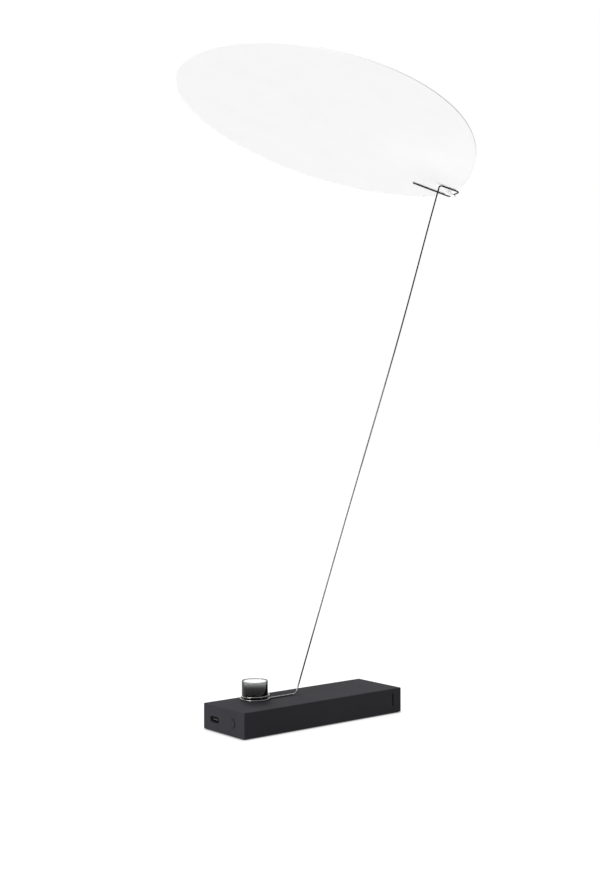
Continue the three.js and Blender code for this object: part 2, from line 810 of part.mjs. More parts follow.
const probe = sheetRadius / 1000;
const gripHeight = hangingHeight(gripCentre.x, gripCentre.y);
const gripSlopeAlong = (hangingHeight(gripCentre.x + probe, gripCentre.y) - gripHeight) / probe;
const gripSlopeAcross = (hangingHeight(gripCentre.x, gripCentre.y + probe) - gripHeight) / probe;

function gripPlaneHeight(along, across) {
  return gripHeight + gripSlopeAlong * (along - gripCentre.x) + gripSlopeAcross * (across - gripCentre.y);
}

// The wires press the sheet flat where they hold it
function sheetHeight(along, across) {
  const distance = Math.hypot(along - gripCentre.x, across - gripCentre.y);
  const free = THREE.MathUtils.smoothstep(distance, gripFlatRadius, gripBlendRadius);
  const flat = gripPlaneHeight(along, across);
  return flat + free * (hangingHeight(along, across) - flat);
}

// The clip's frame inside the sheet's: outward, sideways and square to the gripped part, in the wires' plane
const gripNormal = new THREE.Vector3(-gripSlopeAlong, -gripSlopeAcross, 1).normalize();
const clipOutward = new THREE.Vector3(clipOut.x, clipOut.y, 0).projectOnPlane(gripNormal).normalize();
const clipSideways = gripNormal.clone().cross(clipOutward);
const clipDrop = sheetThickness / 2 + fit + wireRadius;
const clipPlace = clipOut.clone().multiplyScalar(clipRadius);
const clipCentre = new THREE.Vector3(clipPlace.x, clipPlace.y, gripPlaneHeight(clipPlace.x, clipPlace.y))
  .addScaledVector(gripNormal, -clipDrop);
const clipFrame = new THREE.Matrix4()
  .makeBasis(clipOutward, clipSideways, gripNormal)
  .setPosition(clipCentre);

// The clip's corners in its own frame: cross wire, and two legs that lean to one side under the sheet
function clipCorners() {
  const cross = new THREE.Vector2(0, 1).rotateAround(new THREE.Vector2(), radians(clipCrossTurn));
  const inward = (skew) => new THREE.Vector2(-1, 0).rotateAround(new THREE.Vector2(), radians(-skew));
  const nearCorner = cross.clone().multiplyScalar(-clipSpan / 2);
  const farCorner = cross.clone().multiplyScalar(clipSpan / 2);
  const rodTop = nearCorner.clone().addScaledVector(inward(nearLegSkew), nearLegLength);
  const farEnd = farCorner.clone().addScaledVector(inward(farLegSkew), farLegLength);
  return [rodTop, nearCorner, farCorner, farEnd].map(({ x, y }) => new THREE.Vector3(x, y, 0));
}

// The wire bends out of the coil into its run, and the rod's top end fixes where the clip and the sheet hang
const coilLeaves = radians(coilExit);
const coilEnd = coilPlace(coilLeaves, 0);
const coilHeading = new THREE.Vector3(-Math.sin(coilLeaves), Math.cos(coilLeaves), 0);
const runCorner = coilEnd.clone().addScaledVector(coilHeading, coilExitLength);
const rodFoot = runCorner.clone().add(new THREE.Vector3(runLength, 0, 0));
const rodTop = rodFoot.clone().addScaledVector(rodDirection, rodLength);
const sheetTurn = new THREE.Matrix4().makeBasis(sheetAlong, sheetAcross, sheetNormal);
const rodTopInSheet = clipCorners()[0].applyMatrix4(clipFrame);
const sheetCentre = rodTop.clone().sub(rodTopInSheet.clone().applyMatrix4(sheetTurn));
const sheetFrame = sheetTurn.clone().setPosition(sheetCentre);

function coilPlace(angle, height) {
  return new THREE.Vector3(
    lensX + coilRadius * Math.cos(angle), lensY + coilRadius * Math.sin(angle), wireHeight + height);
}

function climbAt(turns) {
  const next = Math.max(1, coilClimb.findIndex((mark) => mark.turns >= turns));
  const [from, to] = [coilClimb[next - 1], coilClimb[next]];
  return from.height + (to.height - from.height) * THREE.MathUtils.smoothstep(turns, from.turns, to.turns);
}

function coilStations() {
  const coilTurns = coilClimb.at(-1).turns;
  const count = Math.round(coilTurns * coilStepsPerTurn);
  return Array.from({ length: count }, (_, index) => {
    const turnsLeft = coilTurns * (1 - index / count);
    return coilPlace(coilLeaves - 2 * Math.PI * turnsLeft, climbAt(turnsLeft));
  });
}

// The rod between its two bends, with the slight bow that the sheet's weight gives it
function rodStations(start, end) {
  const length = start.distanceTo(end);
  const bowDirection = new THREE.Vector3(rodDirection.z, 0, -rodDirection.x);
  return Array.from({ length: rodSteps - 1 }, (_, index) => {
    const share = (index + 1) / rodSteps;
    const bow = rodBow * Math.sin(Math.PI * share ** rodBowSkewShare) ** 2;
    return start.clone().addScaledVector(rodDirection, length * share).addScaledVector(bowDirection, bow);
  });
}

// Least gap between one turn's surface and the next, measured on the coil's own points
function leastGapOfCoil(stations) {
  let least = Infinity;
  stations.forEach((here, index) => {
    stations.slice(index + Math.round(coilStepsPerTurn / 2)).forEach((there) => {
      least = Math.min(least, here.distanceTo(there) - wireDiameter);
    });
  });
  return least;
}

function rodWire() {
  const corners = clipCorners().map((corner) => corner.applyMatrix4(clipFrame).applyMatrix4(sheetFrame));
  const [top, nearCorner, farCorner, farEnd] = corners;
  const coil = coilStations();
  const gap = leastGapOfCoil(coil);
  console.log(`least gap of the coil to itself: ${gap.toFixed(2)} mm, wanted over ${leastCoilGap} mm`);
  const atFoot = bendAt(runCorner, rodFoot, top, footBend);
  const atTop = bendAt(rodFoot, top, nearCorner, topBend);
  const stations = [
    ...coil,
    ...bendAt(coilEnd, runCorner, rodFoot, coilExitBend),
    ...atFoot,
    ...rodStations(atFoot.at(-1), atTop[0]),
    ...atTop,
    ...bendAt(top, nearCorner, farCorner, clipBend),
    ...bendAt(nearCorner, farCorner, farEnd, clipBend),
    farEnd,
  ];
  return tubeThrough(stations, wireDiameter, wireSides);
}

// The flat round sheet, then given its hanging shape
function sheetDisc() {
  const half = sheetThickness / 2;
  const radii = Array.from({ length: sheetRings + 1 }, (_, index) => sheetRadius * index / sheetRings);
  const under = radii.map((radius) => new THREE.Vector2(radius, -half));
  const over = radii.map((radius) => new THREE.Vector2(radius, half)).reverse();
  const disc = new THREE.LatheGeometry([...under, ...over], sheetSegments).rotateX(Math.PI / 2);
  const places = disc.attributes.position;
  for (let index = 0; index < places.count; index += 1) {
    const lift = sheetHeight(places.getX(index), places.getY(index));
    places.setZ(index, places.getZ(index) + lift);
  }
  return disc;
}

// A narrow tongue, slit free at the rim, that dips under the cross wire and so holds the sheet on the legs
function tongueOutline() {
  const half = sheetThickness / 2;
  const path = [
    [-tongueRoot, clipDrop],
    [-tongueBendStart, clipDrop],
    [-tongueBendEnd, -clipDrop],
    [tongueTip, -clipDrop],
  ];
  const upper = path.map(([out, height]) => new THREE.Vector2(out, height + half));
  const lower = path.map(([out, height]) => new THREE.Vector2(out, height - half)).reverse();
  return new THREE.Shape([...upper, ...lower]);
}

const alongSideways = new THREE.Matrix4().makeBasis(
  new THREE.Vector3(1, 0, 0), new THREE.Vector3(0, 0, 1), new THREE.Vector3(0, -1, 0));

function reflector() {
  const tongue = new THREE.ExtrudeGeometry(tongueOutline(), { depth: tongueWidth, bevelEnabled: false })
    .translate(0, 0, -tongueWidth / 2 - tongueShift)
    .applyMatrix4(alongSideways)
    .applyMatrix4(clipFrame);
  const gapWidth = tongueWidth + 2 * tongueSlit;
  const notch = block(
    -tongueBendStart, tongueTip + overrun, tongueShift - gapWidth / 2, tongueShift + gapWidth / 2,
    -tongueRoot, tongueRoot)
    .applyMatrix4(clipFrame);
  return join(cut(sheetDisc(), notch), tongue);
}

// Finishes
function finish(color, roughness, metalness = 0) {
  return new THREE.MeshStandardMaterial({ color, roughness, metalness });
}

const darkCase = finish(0x46454a, 0.55, 0.4);
const rubber = finish(0x18181a, 0.9);
const blackPlastic = finish(0x1c1c1e, 0.6);
const steel = finish(0xc4c6c8, 0.22, 1);
const whiteSheet = finish(0xf7f6f4, 0.85);
const clearGlass = finish(0xe8eef0, 0.05);
const board = finish(0x1e5a38, 0.55);
const whiteBoard = finish(0xeeeeea, 0.5);
const aluminium = finish(0xb9bcc0, 0.4, 1);
const pouchFoil = finish(0xaeb2b8, 0.35, 0.8);
const phosphor = finish(0xf2d84a, 0.4);
const foam = finish(0x2c2c30, 0.95);
const redSleeve = finish(0xb02a24, 0.5);
const blackSleeve = finish(0x202022, 0.5);
const ferrite = finish(0x3c3c40, 0.7);

const lamp = new THREE.Group();
const sheetGroup = new THREE.Group();
sheetGroup.applyMatrix4(sheetFrame);

function put(group, name, geometry, material) {
  const mesh = new THREE.Mesh(geometry, material);
  mesh.name = name;
  group.add(mesh);
}

put(lamp, 'base_tube', baseTube(), darkCase);
put(lamp, 'port_end_cap', portEndCap(), darkCase);
put(lamp, 'far_end_cap', farEndCap(), darkCase);
put(lamp, 'foot_pad', footPad(), rubber);
put(lamp, 'chassis_tray', chassisTray(), blackPlastic);
capScrewX.forEach((x, end) => capScrewY.forEach((y, side) => {
  const under = footHeight + capScrewBelow + capScrew.headHeight;
  put(lamp, `cap_screw_${2 * end + side + 1}`, screw(x, y, under, capScrew, true), steel);
}));
put(lamp, 'control_board', controlBoard(), board);
boardScrewY.forEach((y, side) => {
  put(lamp, `board_screw_${side + 1}`, screw(boardScrewX, y, partsOnBoard, boardScrew, false), steel);
});
put(lamp, 'port_shell', portShell(), steel);
put(lamp, 'port_tongue', portTongue(), blackPlastic);
put(lamp, 'power_button', powerButton(), darkCase);
put(lamp, 'switch_plunger', switchPlunger(), blackPlastic);
put(lamp, 'switch_body', switchBody(), blackPlastic);
put(lamp, 'controller_chip', chip(controllerChip, chipEdge), blackPlastic);
put(lamp, 'charger_chip', chip(chargerChip, chipEdge), blackPlastic);
put(lamp, 'inductor', chip(inductorBlock, inductorEdge), ferrite);
put(lamp, 'smoothing_capacitor', smoothingCapacitor(), aluminium);
put(lamp, 'battery_socket', batterySocket(), whiteBoard);
put(lamp, 'battery_plug', batteryPlug(), whiteBoard);
put(lamp, 'heat_spreader', heatSpreader(), aluminium);
put(lamp, 'led_board', ledBoard(), whiteBoard);
ledScrewX.forEach((x, side) => {
  put(lamp, `led_screw_${side + 1}`, screw(x, lensY, partsOnLedBoard, ledScrew, false), steel);
});
put(lamp, 'led_emitter', ledEmitter(), phosphor);
put(lamp, 'lens_holder', lensHolder(), blackPlastic);
put(lamp, 'lens', lens(), clearGlass);
put(lamp, 'lower_cell', pouchCell(lowerCellBottom), pouchFoil);
put(lamp, 'upper_cell', pouchCell(upperCellBottom), pouchFoil);
put(lamp, 'foam_pad', foamPad(), foam);
put(lamp, 'protection_board', protectionBoard(), board);
put(lamp, 'battery_lead_red', batteryLead(1), redSleeve);
put(lamp, 'battery_lead_black', batteryLead(-1), blackSleeve);
put(lamp, 'led_lead_red', ledLead(1), redSleeve);
put(lamp, 'led_lead_black', ledLead(0), blackSleeve);
put(lamp, 'rod_wire', rodWire(), steel);
put(sheetGroup, 'reflector', reflector(), whiteSheet);
lamp.add(sheetGroup);

export default lamp;
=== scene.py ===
"""Looks of a table lamp: battery base, spot lens, bent steel wire and round white sheet.

Blender works in metres in the row frame. Sizes here are millimetres and degrees, as in the part's
source, and mm() turns a place into metres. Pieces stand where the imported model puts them.
"""

import logging
import math
from dataclasses import dataclass, field
from enum import Enum

import bmesh
import bpy
from mathutils import Matrix, Vector


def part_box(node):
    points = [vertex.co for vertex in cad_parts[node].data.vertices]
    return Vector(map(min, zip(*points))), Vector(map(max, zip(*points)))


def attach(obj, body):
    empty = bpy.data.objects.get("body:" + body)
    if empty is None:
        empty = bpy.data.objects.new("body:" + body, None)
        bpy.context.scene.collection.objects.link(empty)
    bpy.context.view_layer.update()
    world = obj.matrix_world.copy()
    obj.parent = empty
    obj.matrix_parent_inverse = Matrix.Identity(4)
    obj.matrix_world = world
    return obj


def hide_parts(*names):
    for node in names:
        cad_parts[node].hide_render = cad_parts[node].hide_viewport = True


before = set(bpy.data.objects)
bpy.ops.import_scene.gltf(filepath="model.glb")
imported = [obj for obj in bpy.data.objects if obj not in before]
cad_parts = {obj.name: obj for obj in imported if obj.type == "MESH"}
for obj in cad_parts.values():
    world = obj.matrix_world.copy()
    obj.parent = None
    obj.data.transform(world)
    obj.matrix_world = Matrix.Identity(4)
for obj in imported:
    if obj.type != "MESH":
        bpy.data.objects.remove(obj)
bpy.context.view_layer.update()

MM = 0.001
WELD = 0.001 * MM
LENS_SHOULDER = 21.15
FLAT_ANGLE = 0.6
SHARP_ANGLE = 40
ROUND_SEGMENTS = 2
log = logging.getLogger("table_lamp")

Triple = tuple[float, float, float]
Mark = tuple[float, float]
Mesh = bmesh.types.BMesh
Node = bpy.types.Node
Socket = bpy.types.NodeSocket


class Body(str, Enum):
    """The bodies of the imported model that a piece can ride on."""

    BASE = "base"
    ARM = "arm"
    SHADE = "shade"
    BUTTON = "button"


class Slot(str, Enum):
    """The record's material slots."""

    DARK_CASE = "dark_case"
    RUBBER = "rubber"
    BLACK_PLASTIC = "black_plastic"
    STEEL = "steel"
    WHITE_SHEET = "white_sheet"
    CLEAR_LENS = "clear_lens"
    GREEN_BOARD = "green_board"
    WHITE_BOARD = "white_board"
    BARE_ALUMINIUM = "bare_aluminium"
    POUCH_FOIL = "pouch_foil"
    PHOSPHOR = "phosphor"
    FOAM = "foam"
    RED_SLEEVE = "red_sleeve"
    BLACK_SLEEVE = "black_sleeve"
    FERRITE = "ferrite"


def mm(x: float, y: float, z: float) -> Vector:
    """A place in millimetres, turned into metres."""
    return Vector((x, y, z)) * MM


def spot(*place: float) -> Vector:
    """The default of a dataclass field that holds a place or a direction."""
    return field(default_factory=lambda: Vector(place))


def reach(node: str) -> tuple[Vector, Vector, Vector]:
    """A CAD node's lowest corner, highest corner and middle, in millimetres."""
    low, high = (Vector(corner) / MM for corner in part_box(node))
    return low, high, (low + high) / 2


def eased(share: float) -> float:
    """A share from 0 to 1 that starts and ends gently."""
    return share * share * (3 - 2 * share)


def greys(marks: tuple[Mark, ...]) -> list[tuple[float, Triple]]:
    """Stops of a colour ramp made of places and their grey tones."""
    return [(place, (tone, tone, tone)) for place, tone in marks]


class NodeBoard:
    """A node tree that is filled node by node.

    The Mix node's colours are told by their numbers, since its sockets for other data share their names.
    """

    pattern_middle: Mark = (0.3, 0.7)
    mix_colours: tuple[int, int] = (6, 7)
    mix_result: int = 2

    def __init__(self, tree: bpy.types.NodeTree) -> None:
        """Takes a tree of a material or of the world and empties it."""
        self.tree = tree
        tree.nodes.clear()

    def add(
        self, kind: str, settings: dict | None = None, numbered: dict[int, Socket] | None = None,
        **sockets: object
    ) -> Node:
        """Adds a node.

        Args:
            kind: the node's type, as Blender names it.
            settings: attributes of the node itself.
            numbered: what is joined to inputs that only their numbers tell apart.
            sockets: values or output sockets for its inputs, with _ for a space in an input's name.

        Returns:
            The new node.
        """
        node = self.tree.nodes.new(kind)
        for name, value in (settings or {}).items():
            setattr(node, name, value)
        named = {name.replace("_", " "): value for name, value in sockets.items()}
        for key, value in {**named, **(numbered or {})}.items():
            if isinstance(value, Socket):
                self.tree.links.new(value, node.inputs[key])
            else:
                node.inputs[key].default_value = value
        return node

    def places(self, stretch: Triple = (1, 1, 1)) -> Socket:
        """Object coordinates in metres, stretched by a factor along each axis."""
        found = self.add("ShaderNodeTexCoord").outputs["Object"]
        return self.add("ShaderNodeMapping", Vector=found, Scale=stretch).outputs["Vector"]

    def noise(self, scale: float, detail: float = 3, stretch: Triple = (1, 1, 1)) -> Socket:
        """A noise pattern of so many blotches a metre, from 0 to 1."""
        node = self.add("ShaderNodeTexNoise", Vector=self.places(stretch), Scale=scale, Detail=detail)
        return node.outputs["Fac"]

    def ramp(self, factor: Socket, stops: list[tuple[float, Triple]]) -> Socket:
        """A colour ramp.

        Args:
            factor: what runs along the ramp.
            stops: places from 0 to 1 and their colours, in order.

        Returns:
            The ramp's colour.
        """
        node = self.add("ShaderNodeValToRGB", Fac=factor)
        elements = node.color_ramp.elements
        while len(elements) < len(stops):
            elements.new(1)
        for element, (place, colour) in zip(elements, stops):
            element.position = place
            element.color = (*colour, 1)
        return node.outputs["Color"]

    def ranged(self, value: Socket, stretch: Mark, onto: Mark = (0, 1)) -> Socket:
        """Maps a stretch of a value onto another, and holds it at both ends."""
        ends = dict(zip(("From_Min", "From_Max", "To_Min", "To_Max"), (*stretch, *onto)))
        return self.add("ShaderNodeMapRange", Value=value, **ends).outputs["Result"]

    def spread(self, pattern: Socket, ends: Mark) -> Socket:
        """Spreads a pattern's middle values between two ends."""
        return self.ranged(pattern, self.pattern_middle, ends)

    def height_share(self, low: float, high: float) -> Socket:
        """How far a place has come from one height in millimetres to another, from 0 to 1."""
        up = self.add("ShaderNodeSeparateXYZ", Vector=self.places()).outputs["Z"]
        return self.ranged(up, (low * MM, high * MM))

    def multiplied(self, colour: Socket, by: Socket, strength: float = 1.0) -> Socket:
        """Multiplies a colour.

        Args:
            colour: the colour.
            by: the colour that it is multiplied by.
            strength: how much of the product replaces the colour.

        Returns:
            The mixed colour.
        """
        node = self.add(
            "ShaderNodeMix", {"data_type": "RGBA", "blend_type": "MULTIPLY"},
            dict(zip(self.mix_colours, (colour, by))), Factor=strength)
        return node.outputs[self.mix_result]

    def larger(self, first: Socket, second: Socket) -> Socket:
        """The larger of two values."""
        node = self.add("ShaderNodeMath", {"operation": "MAXIMUM"}, {0: first, 1: second})
        return node.outputs["Value"]

    def bump(self, height: Socket, depth: float, strength: float) -> Socket:
        """A relief of so many millimetres made from a height pattern."""
        node = self.add("ShaderNodeBump", Height=height, Distance=depth * MM, Strength=strength)
        return node.outputs["Normal"]

    def either(self, factor: Socket, at_0: Node, at_1: Node) -> Node:
        """A shader that goes from one shader to another as a factor goes from 0 to 1."""
        return self.add("ShaderNodeMixShader", None, {1: at_0.outputs[0], 2: at_1.outputs[0]}, Fac=factor)

    def show(self, shader: Node, output: str = "ShaderNodeOutputMaterial") -> None:
        """Joins a shader to the tree's output."""
        self.add(output, Surface=shader.outputs[0])


@dataclass(frozen=True)
class Finish:
    """A surface finish: a colour with soft patches, a fine grain and a slightly uneven gloss.

    Patches and grain are counted in blotches a metre, and the grain's depth is in millimetres.
    """

    name: str
    slot: Slot
    colour: Triple
    patch_colour: Triple
    patches: float = 60
    patch_edges: Mark = (0.35, 0.65)
    grain: float = 3000
    grain_detail: float = 2
    grain_depth: float = 0.02
    grain_strength: float = 0.3
    roughness: Mark = (0.45, 0.55)
    metallic: float = 0.0
    specular: float = 0.5

    def material(self) -> bpy.types.Material:
        """Makes the material the first time it is asked for.

        Returns:
            The finish as a material.
        """
        found = bpy.data.materials.get(self.name)
        if found:
            return found
        made = bpy.data.materials.new(self.name)
        made.use_nodes = True
        self.lay_out(NodeBoard(made.node_tree))
        return made

    def lay_out(self, board: NodeBoard) -> None:
        """Fills the material's node tree with patches and grain."""
        grain = self.grained(board)
        self.coat(board, self.patched(board), grain, grain)

    def patched(self, board: NodeBoard) -> Socket:
        """The colour with its soft patches."""
        stops = list(zip(self.patch_edges, (self.colour, self.patch_colour)))
        return board.ramp(board.noise(self.patches), stops)

    def grained(self, board: NodeBoard) -> Socket:
        """The pattern of the fine grain."""
        return board.noise(self.grain, self.grain_detail)

    def coat(
        self, board: NodeBoard, colour: Socket, gloss: Socket, relief: Socket, metal: Socket | None = None
    ) -> None:
        """Adds the surface shader and shows it.

        Args:
            board: the material's node tree.
            colour: the surface's colour.
            gloss: the pattern that its roughness follows.
            relief: the pattern that its fine relief follows.
            metal: where it is metal, if it isn't so all over or nowhere.
        """
        board.show(board.add(
            "ShaderNodeBsdfPrincipled",
            Base_Color=colour,
            Roughness=board.spread(gloss, self.roughness),
            Metallic=self.metallic if metal is None else metal,
            Specular_IOR_Level=self.specular,
            Normal=board.bump(relief, self.grain_depth, self.grain_strength),
        ))


@dataclass(frozen=True)
class BlastedCase(Finish):
    """Dark blasted and dyed aluminium: fine speckle over soft tonal patches."""

    speckle: float = 1400
    speckle_detail: float = 1
    speckle_strength: float = 0.48
    speckle_tones: tuple[Mark, ...] = ((0.4, 0.8), (0.7, 1.25))

    def lay_out(self, board: NodeBoard) -> None:
        """Fills the node tree with patches, speckle and grain.

        Args:
            board: the material's node tree.
        """
        speckle = board.noise(self.speckle, self.speckle_detail)
        specks = board.ramp(speckle, greys(self.speckle_tones))
        colour = board.multiplied(self.patched(board), specks, self.speckle_strength)
        self.coat(board, colour, speckle, self.grained(board))


@dataclass(frozen=True)
class PaperFinish(Finish):
    """White sheet with a faint cloudiness and fine fibres."""

    fibres: float = 900
    fibre_ways: tuple[Triple, ...] = ((1, 6, 1), (6, 1, 1))

    def lay_out(self, board: NodeBoard) -> None:
        """Fills the node tree with clouds and two directions of fibres."""
        along, across = (board.noise(self.fibres, self.grain_detail, way) for way in self.fibre_ways)
        self.coat(board, self.patched(board), along, board.larger(along, across))


@dataclass(frozen=True)
class WireFinish(Finish):
    """Drawn wire with painted reflections: bright where the coil turns on the lens, duller up the rod, black
    at the clip.

    The two colours are shares of the tone, which is told by heights in millimetres.
    """

    # Painted reflections and shade: the wire's tone at each height stands in for the light and dark that it
    # reflects.
    tones: tuple[Mark, ...] = (
        (26, 0.18), (32, 0.02), (62, 0.02), (95, 0.11), (230, 0.12), (270, 0.15), (325, 0.03),
        (458, 0.003))
    # From this height up the metal fades out, a painted shade that turns the clip black.
    clip_starts: float = 452.0

    def lay_out(self, board: NodeBoard) -> None:
        """Fills the node tree with painted reflection tones by height, soft patches and drawing lines.

        Args:
            board: the material's node tree.
        """
        top = self.tones[-1][0]
        height = board.height_share(0, top)
        # Painted reflections by height, and the clip's painted shade where the metal fades out.
        tones = board.ramp(height, greys([(place / top, tone) for place, tone in self.tones]))
        metal = board.ramp(height, greys([(self.clip_starts / top, 1), (1, 0)]))
        grain = self.grained(board)
        self.coat(board, board.multiplied(tones, self.patched(board)), grain, grain, metal)


@dataclass(frozen=True)
class LensFinish(Finish):
    """Clear lens with painted shade: its walls are darkened towards the base and, to the second colour, at
    its outline.
    """

    foot: float = LENS_SHOULDER
    top: float = 36.45
    facing_blend: float = 0.5
    outline_starts: float = 0.36
    outline_full: float = 0.5
    ior: float = 1.3
    # Painted shade: how dark the glass is made at each share of the height from the shoulder to the rim.
    painted_shades: tuple[Mark, ...] = (
        (0.41, 0.0025), (0.47, 0.003), (0.53, 0.01), (0.59, 0.029), (0.645, 0.07), (0.67, 0.1), (0.7, 0.145),
        (0.73, 0.2), (0.76, 0.285), (0.79, 0.32), (0.845, 0.36), (0.9, 0.384), (1.0, 0.4))

    def lay_out(self, board: NodeBoard) -> None:
        """Fills the node tree with glass darkened by height, a painted shade.

        Args:
            board: the material's node tree.
        """
        height = board.height_share(self.foot, self.top)
        painted_shade_colour = board.ramp(
            height, [(place, tuple(share * tone for tone in self.colour)) for place, share in self.painted_shades])
        # Painted shade: the glass goes to the second colour where it is seen edge-on.
        facing = board.add("ShaderNodeLayerWeight", Blend=self.facing_blend).outputs["Facing"]
        outline = board.ramp(
            facing, [(self.outline_starts, (1, 1, 1)), (self.outline_full, self.patch_colour)])
        board.show(board.add(
            "ShaderNodeBsdfPrincipled",
            Base_Color=board.multiplied(painted_shade_colour, outline),
            Roughness=board.spread(board.noise(self.patches), self.roughness),
            IOR=self.ior,
            Transmission_Weight=1.0,
        ))


CASE = BlastedCase(
    "dyed_case", Slot.DARK_CASE, (0.035, 0.0337, 0.0385), (0.0393, 0.0379, 0.0431),
    patches=22, grain=2600, grain_depth=0.03, grain_strength=0.25, roughness=(0.85, 0.95), specular=0.05)
RUBBER = Finish(
    "foot_rubber", Slot.RUBBER, (0.012, 0.012, 0.013), (0.02, 0.02, 0.021),
    patches=90, grain=1800, grain_depth=0.05, roughness=(0.8, 0.95), specular=0.3)
STEEL = Finish(
    "drawn_steel", Slot.STEEL, (0.115, 0.117, 0.12), (0.14, 0.142, 0.146),
    patches=300, grain=6000, grain_depth=0.004, grain_strength=0.15, roughness=(0.14, 0.24), metallic=1.0)
WIRE = WireFinish(
    "wire_steel", Slot.STEEL, (0.85, 0.85, 0.85), (1, 1, 1),
    patches=300, grain=6000, grain_depth=0.004, grain_strength=0.15, roughness=(0.2, 0.3), specular=0.05)
# Steel made near black for the port's shell.
DARK_STEEL = Finish(
    "near_black_shell_steel", Slot.STEEL, (0.02, 0.02, 0.021), (0.028, 0.028, 0.029),
    patches=400, grain=5000, grain_depth=0.004, roughness=(0.35, 0.5), metallic=1.0)
GREY_PLASTIC = Finish(
    "port_plastic", Slot.BLACK_PLASTIC, (0.045, 0.045, 0.047), (0.055, 0.055, 0.057),
    patches=300, grain=2400, roughness=(0.5, 0.6))
PAPER = PaperFinish(
    "white_paper", Slot.WHITE_SHEET, (0.926, 0.925, 0.926), (0.941, 0.94, 0.942),
    patches=35, patch_edges=(0.3, 0.7), grain_depth=0.012, grain_strength=0.12, roughness=(0.85, 0.95),
    specular=0.0)
# The lens' second colour is its painted dark outline.
LENS = LensFinish(
    "lens_glass", Slot.CLEAR_LENS, (0.96, 0.98, 1.0), (0.01, 0.01, 0.011),
    patches=120, roughness=(0.02, 0.05))
WINDOW = Finish(
    "frosted_window", Slot.CLEAR_LENS, (0.95, 0.95, 0.95), (0.97, 0.97, 0.97),
    patches=200, grain=4000, grain_depth=0.01, roughness=(0.3, 0.4))
BLACK_PLASTIC = Finish(
    "moulded_plastic", Slot.BLACK_PLASTIC, (0.012, 0.012, 0.013), (0.017, 0.017, 0.018),
    patches=150, grain=2400, roughness=(0.45, 0.6))
GREEN_BOARD = Finish(
    "board_mask", Slot.GREEN_BOARD, (0.012, 0.1, 0.035), (0.018, 0.135, 0.05),
    patches=400, grain=1500, roughness=(0.3, 0.4))
WHITE_BOARD = Finish(
    "white_mask", Slot.WHITE_BOARD, (0.8, 0.8, 0.78), (0.86, 0.86, 0.84),
    patches=300, grain=1500, roughness=(0.4, 0.5))
ALUMINIUM = Finish(
    "milled_aluminium", Slot.BARE_ALUMINIUM, (0.5, 0.51, 0.52), (0.58, 0.59, 0.6),
    patches=200, grain=4000, roughness=(0.35, 0.5), metallic=1.0)
POUCH = Finish(
    "pouch_foil", Slot.POUCH_FOIL, (0.42, 0.43, 0.45), (0.5, 0.51, 0.53),
    patches=120, grain=500, grain_depth=0.1, roughness=(0.3, 0.45), metallic=0.8)
PHOSPHOR = Finish(
    "phosphor", Slot.PHOSPHOR, (0.85, 0.72, 0.2), (0.9, 0.78, 0.26),
    patches=900, grain=6000, roughness=(0.4, 0.6))
FOAM = Finish(
    "foam_pad", Slot.FOAM, (0.03, 0.03, 0.033), (0.06, 0.06, 0.063),
    patches=900, grain=2500, grain_depth=0.2, grain_strength=0.8, roughness=(0.9, 1.0), specular=0.2)
RED_SLEEVE = Finish(
    "red_sleeve", Slot.RED_SLEEVE, (0.45, 0.02, 0.02), (0.52, 0.03, 0.025),
    patches=300, roughness=(0.35, 0.5))
BLACK_SLEEVE = Finish(
    "black_sleeve", Slot.BLACK_SLEEVE, (0.012, 0.012, 0.012), (0.02, 0.02, 0.02),
    patches=300, roughness=(0.35, 0.5))
FERRITE = Finish(
    "ferrite", Slot.FERRITE, (0.045, 0.044, 0.045), (0.065, 0.064, 0.064),
    patches=900, grain=3500, roughness=(0.6, 0.8))
GOLD = Finish(
    "gold_flash", Slot.STEEL, (0.75, 0.5, 0.16), (0.8, 0.55, 0.2),
    patches=900, grain=6000, grain_depth=0.004, roughness=(0.25, 0.35), metallic=1.0)


def merged_copy(node: str) -> Mesh:
    """A copy of a CAD node's mesh, with its loose triangles merged into whole faces.

    Args:
        node: the CAD node's name.

    Returns:
        The copy, which the caller frees by making a piece of it.
    """
    bm = bmesh.new()
    bm.from_mesh(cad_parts[node].data)
    bmesh.ops.remove_doubles(bm, verts=bm.verts[:], dist=WELD)
    bmesh.ops.dissolve_limit(
        bm, angle_limit=math.radians(FLAT_ANGLE), verts=bm.verts[:], edges=bm.edges[:], delimit={"NORMAL"})
    return bm


def soften(piece: bpy.types.Object, width: float) -> None:
    """Rounds a piece's sharp edges a little, and keeps its flat faces flat in the light.

    Args:
        piece: the mesh object.
        width: the rounding's width.
    """
    bevel = piece.modifiers.new("rounded edges", "BEVEL")
    bevel.width = width * MM
    bevel.segments = ROUND_SEGMENTS
    bevel.limit_method = "ANGLE"
    bevel.angle_limit = math.radians(SHARP_ANGLE)
    bevel.use_clamp_overlap = True
    bevel.miter_outer = "MITER_ARC"
    normals = piece.modifiers.new("flat faces", "WEIGHTED_NORMAL")
    normals.keep_sharp = True


def make_piece(
    name: str, bm: Mesh, finish: Finish, body: Body, stands_for: tuple[str, ...] = (),
    smooth_below: float = 35,
) -> bpy.types.Object:
    """Makes an object of a finished mesh, dresses it and lets it ride.

    Args:
        name: the piece's name.
        bm: the mesh in metres, which is freed.
        finish: what it is finished in.
        body: the body that it moves with.
        stands_for: the CAD nodes that it replaces.
        smooth_below: edges that turn by less than this many degrees are shaded smooth.

    Returns:
        The new object.
    """
    mesh = bpy.data.meshes.new(name)
    bm.to_mesh(mesh)
    bm.free()
    mesh.shade_smooth()
    mesh.set_sharp_from_angle(angle=math.radians(smooth_below))
    mesh.materials.append(finish.material())
    piece = bpy.data.objects.new(name, mesh)
    bpy.context.scene.collection.objects.link(piece)
    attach(piece, body.value)
    if stands_for:
        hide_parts(*stands_for)
    log.info("%s rides on %s: %d faces", name, body.value, len(mesh.polygons))
    return piece


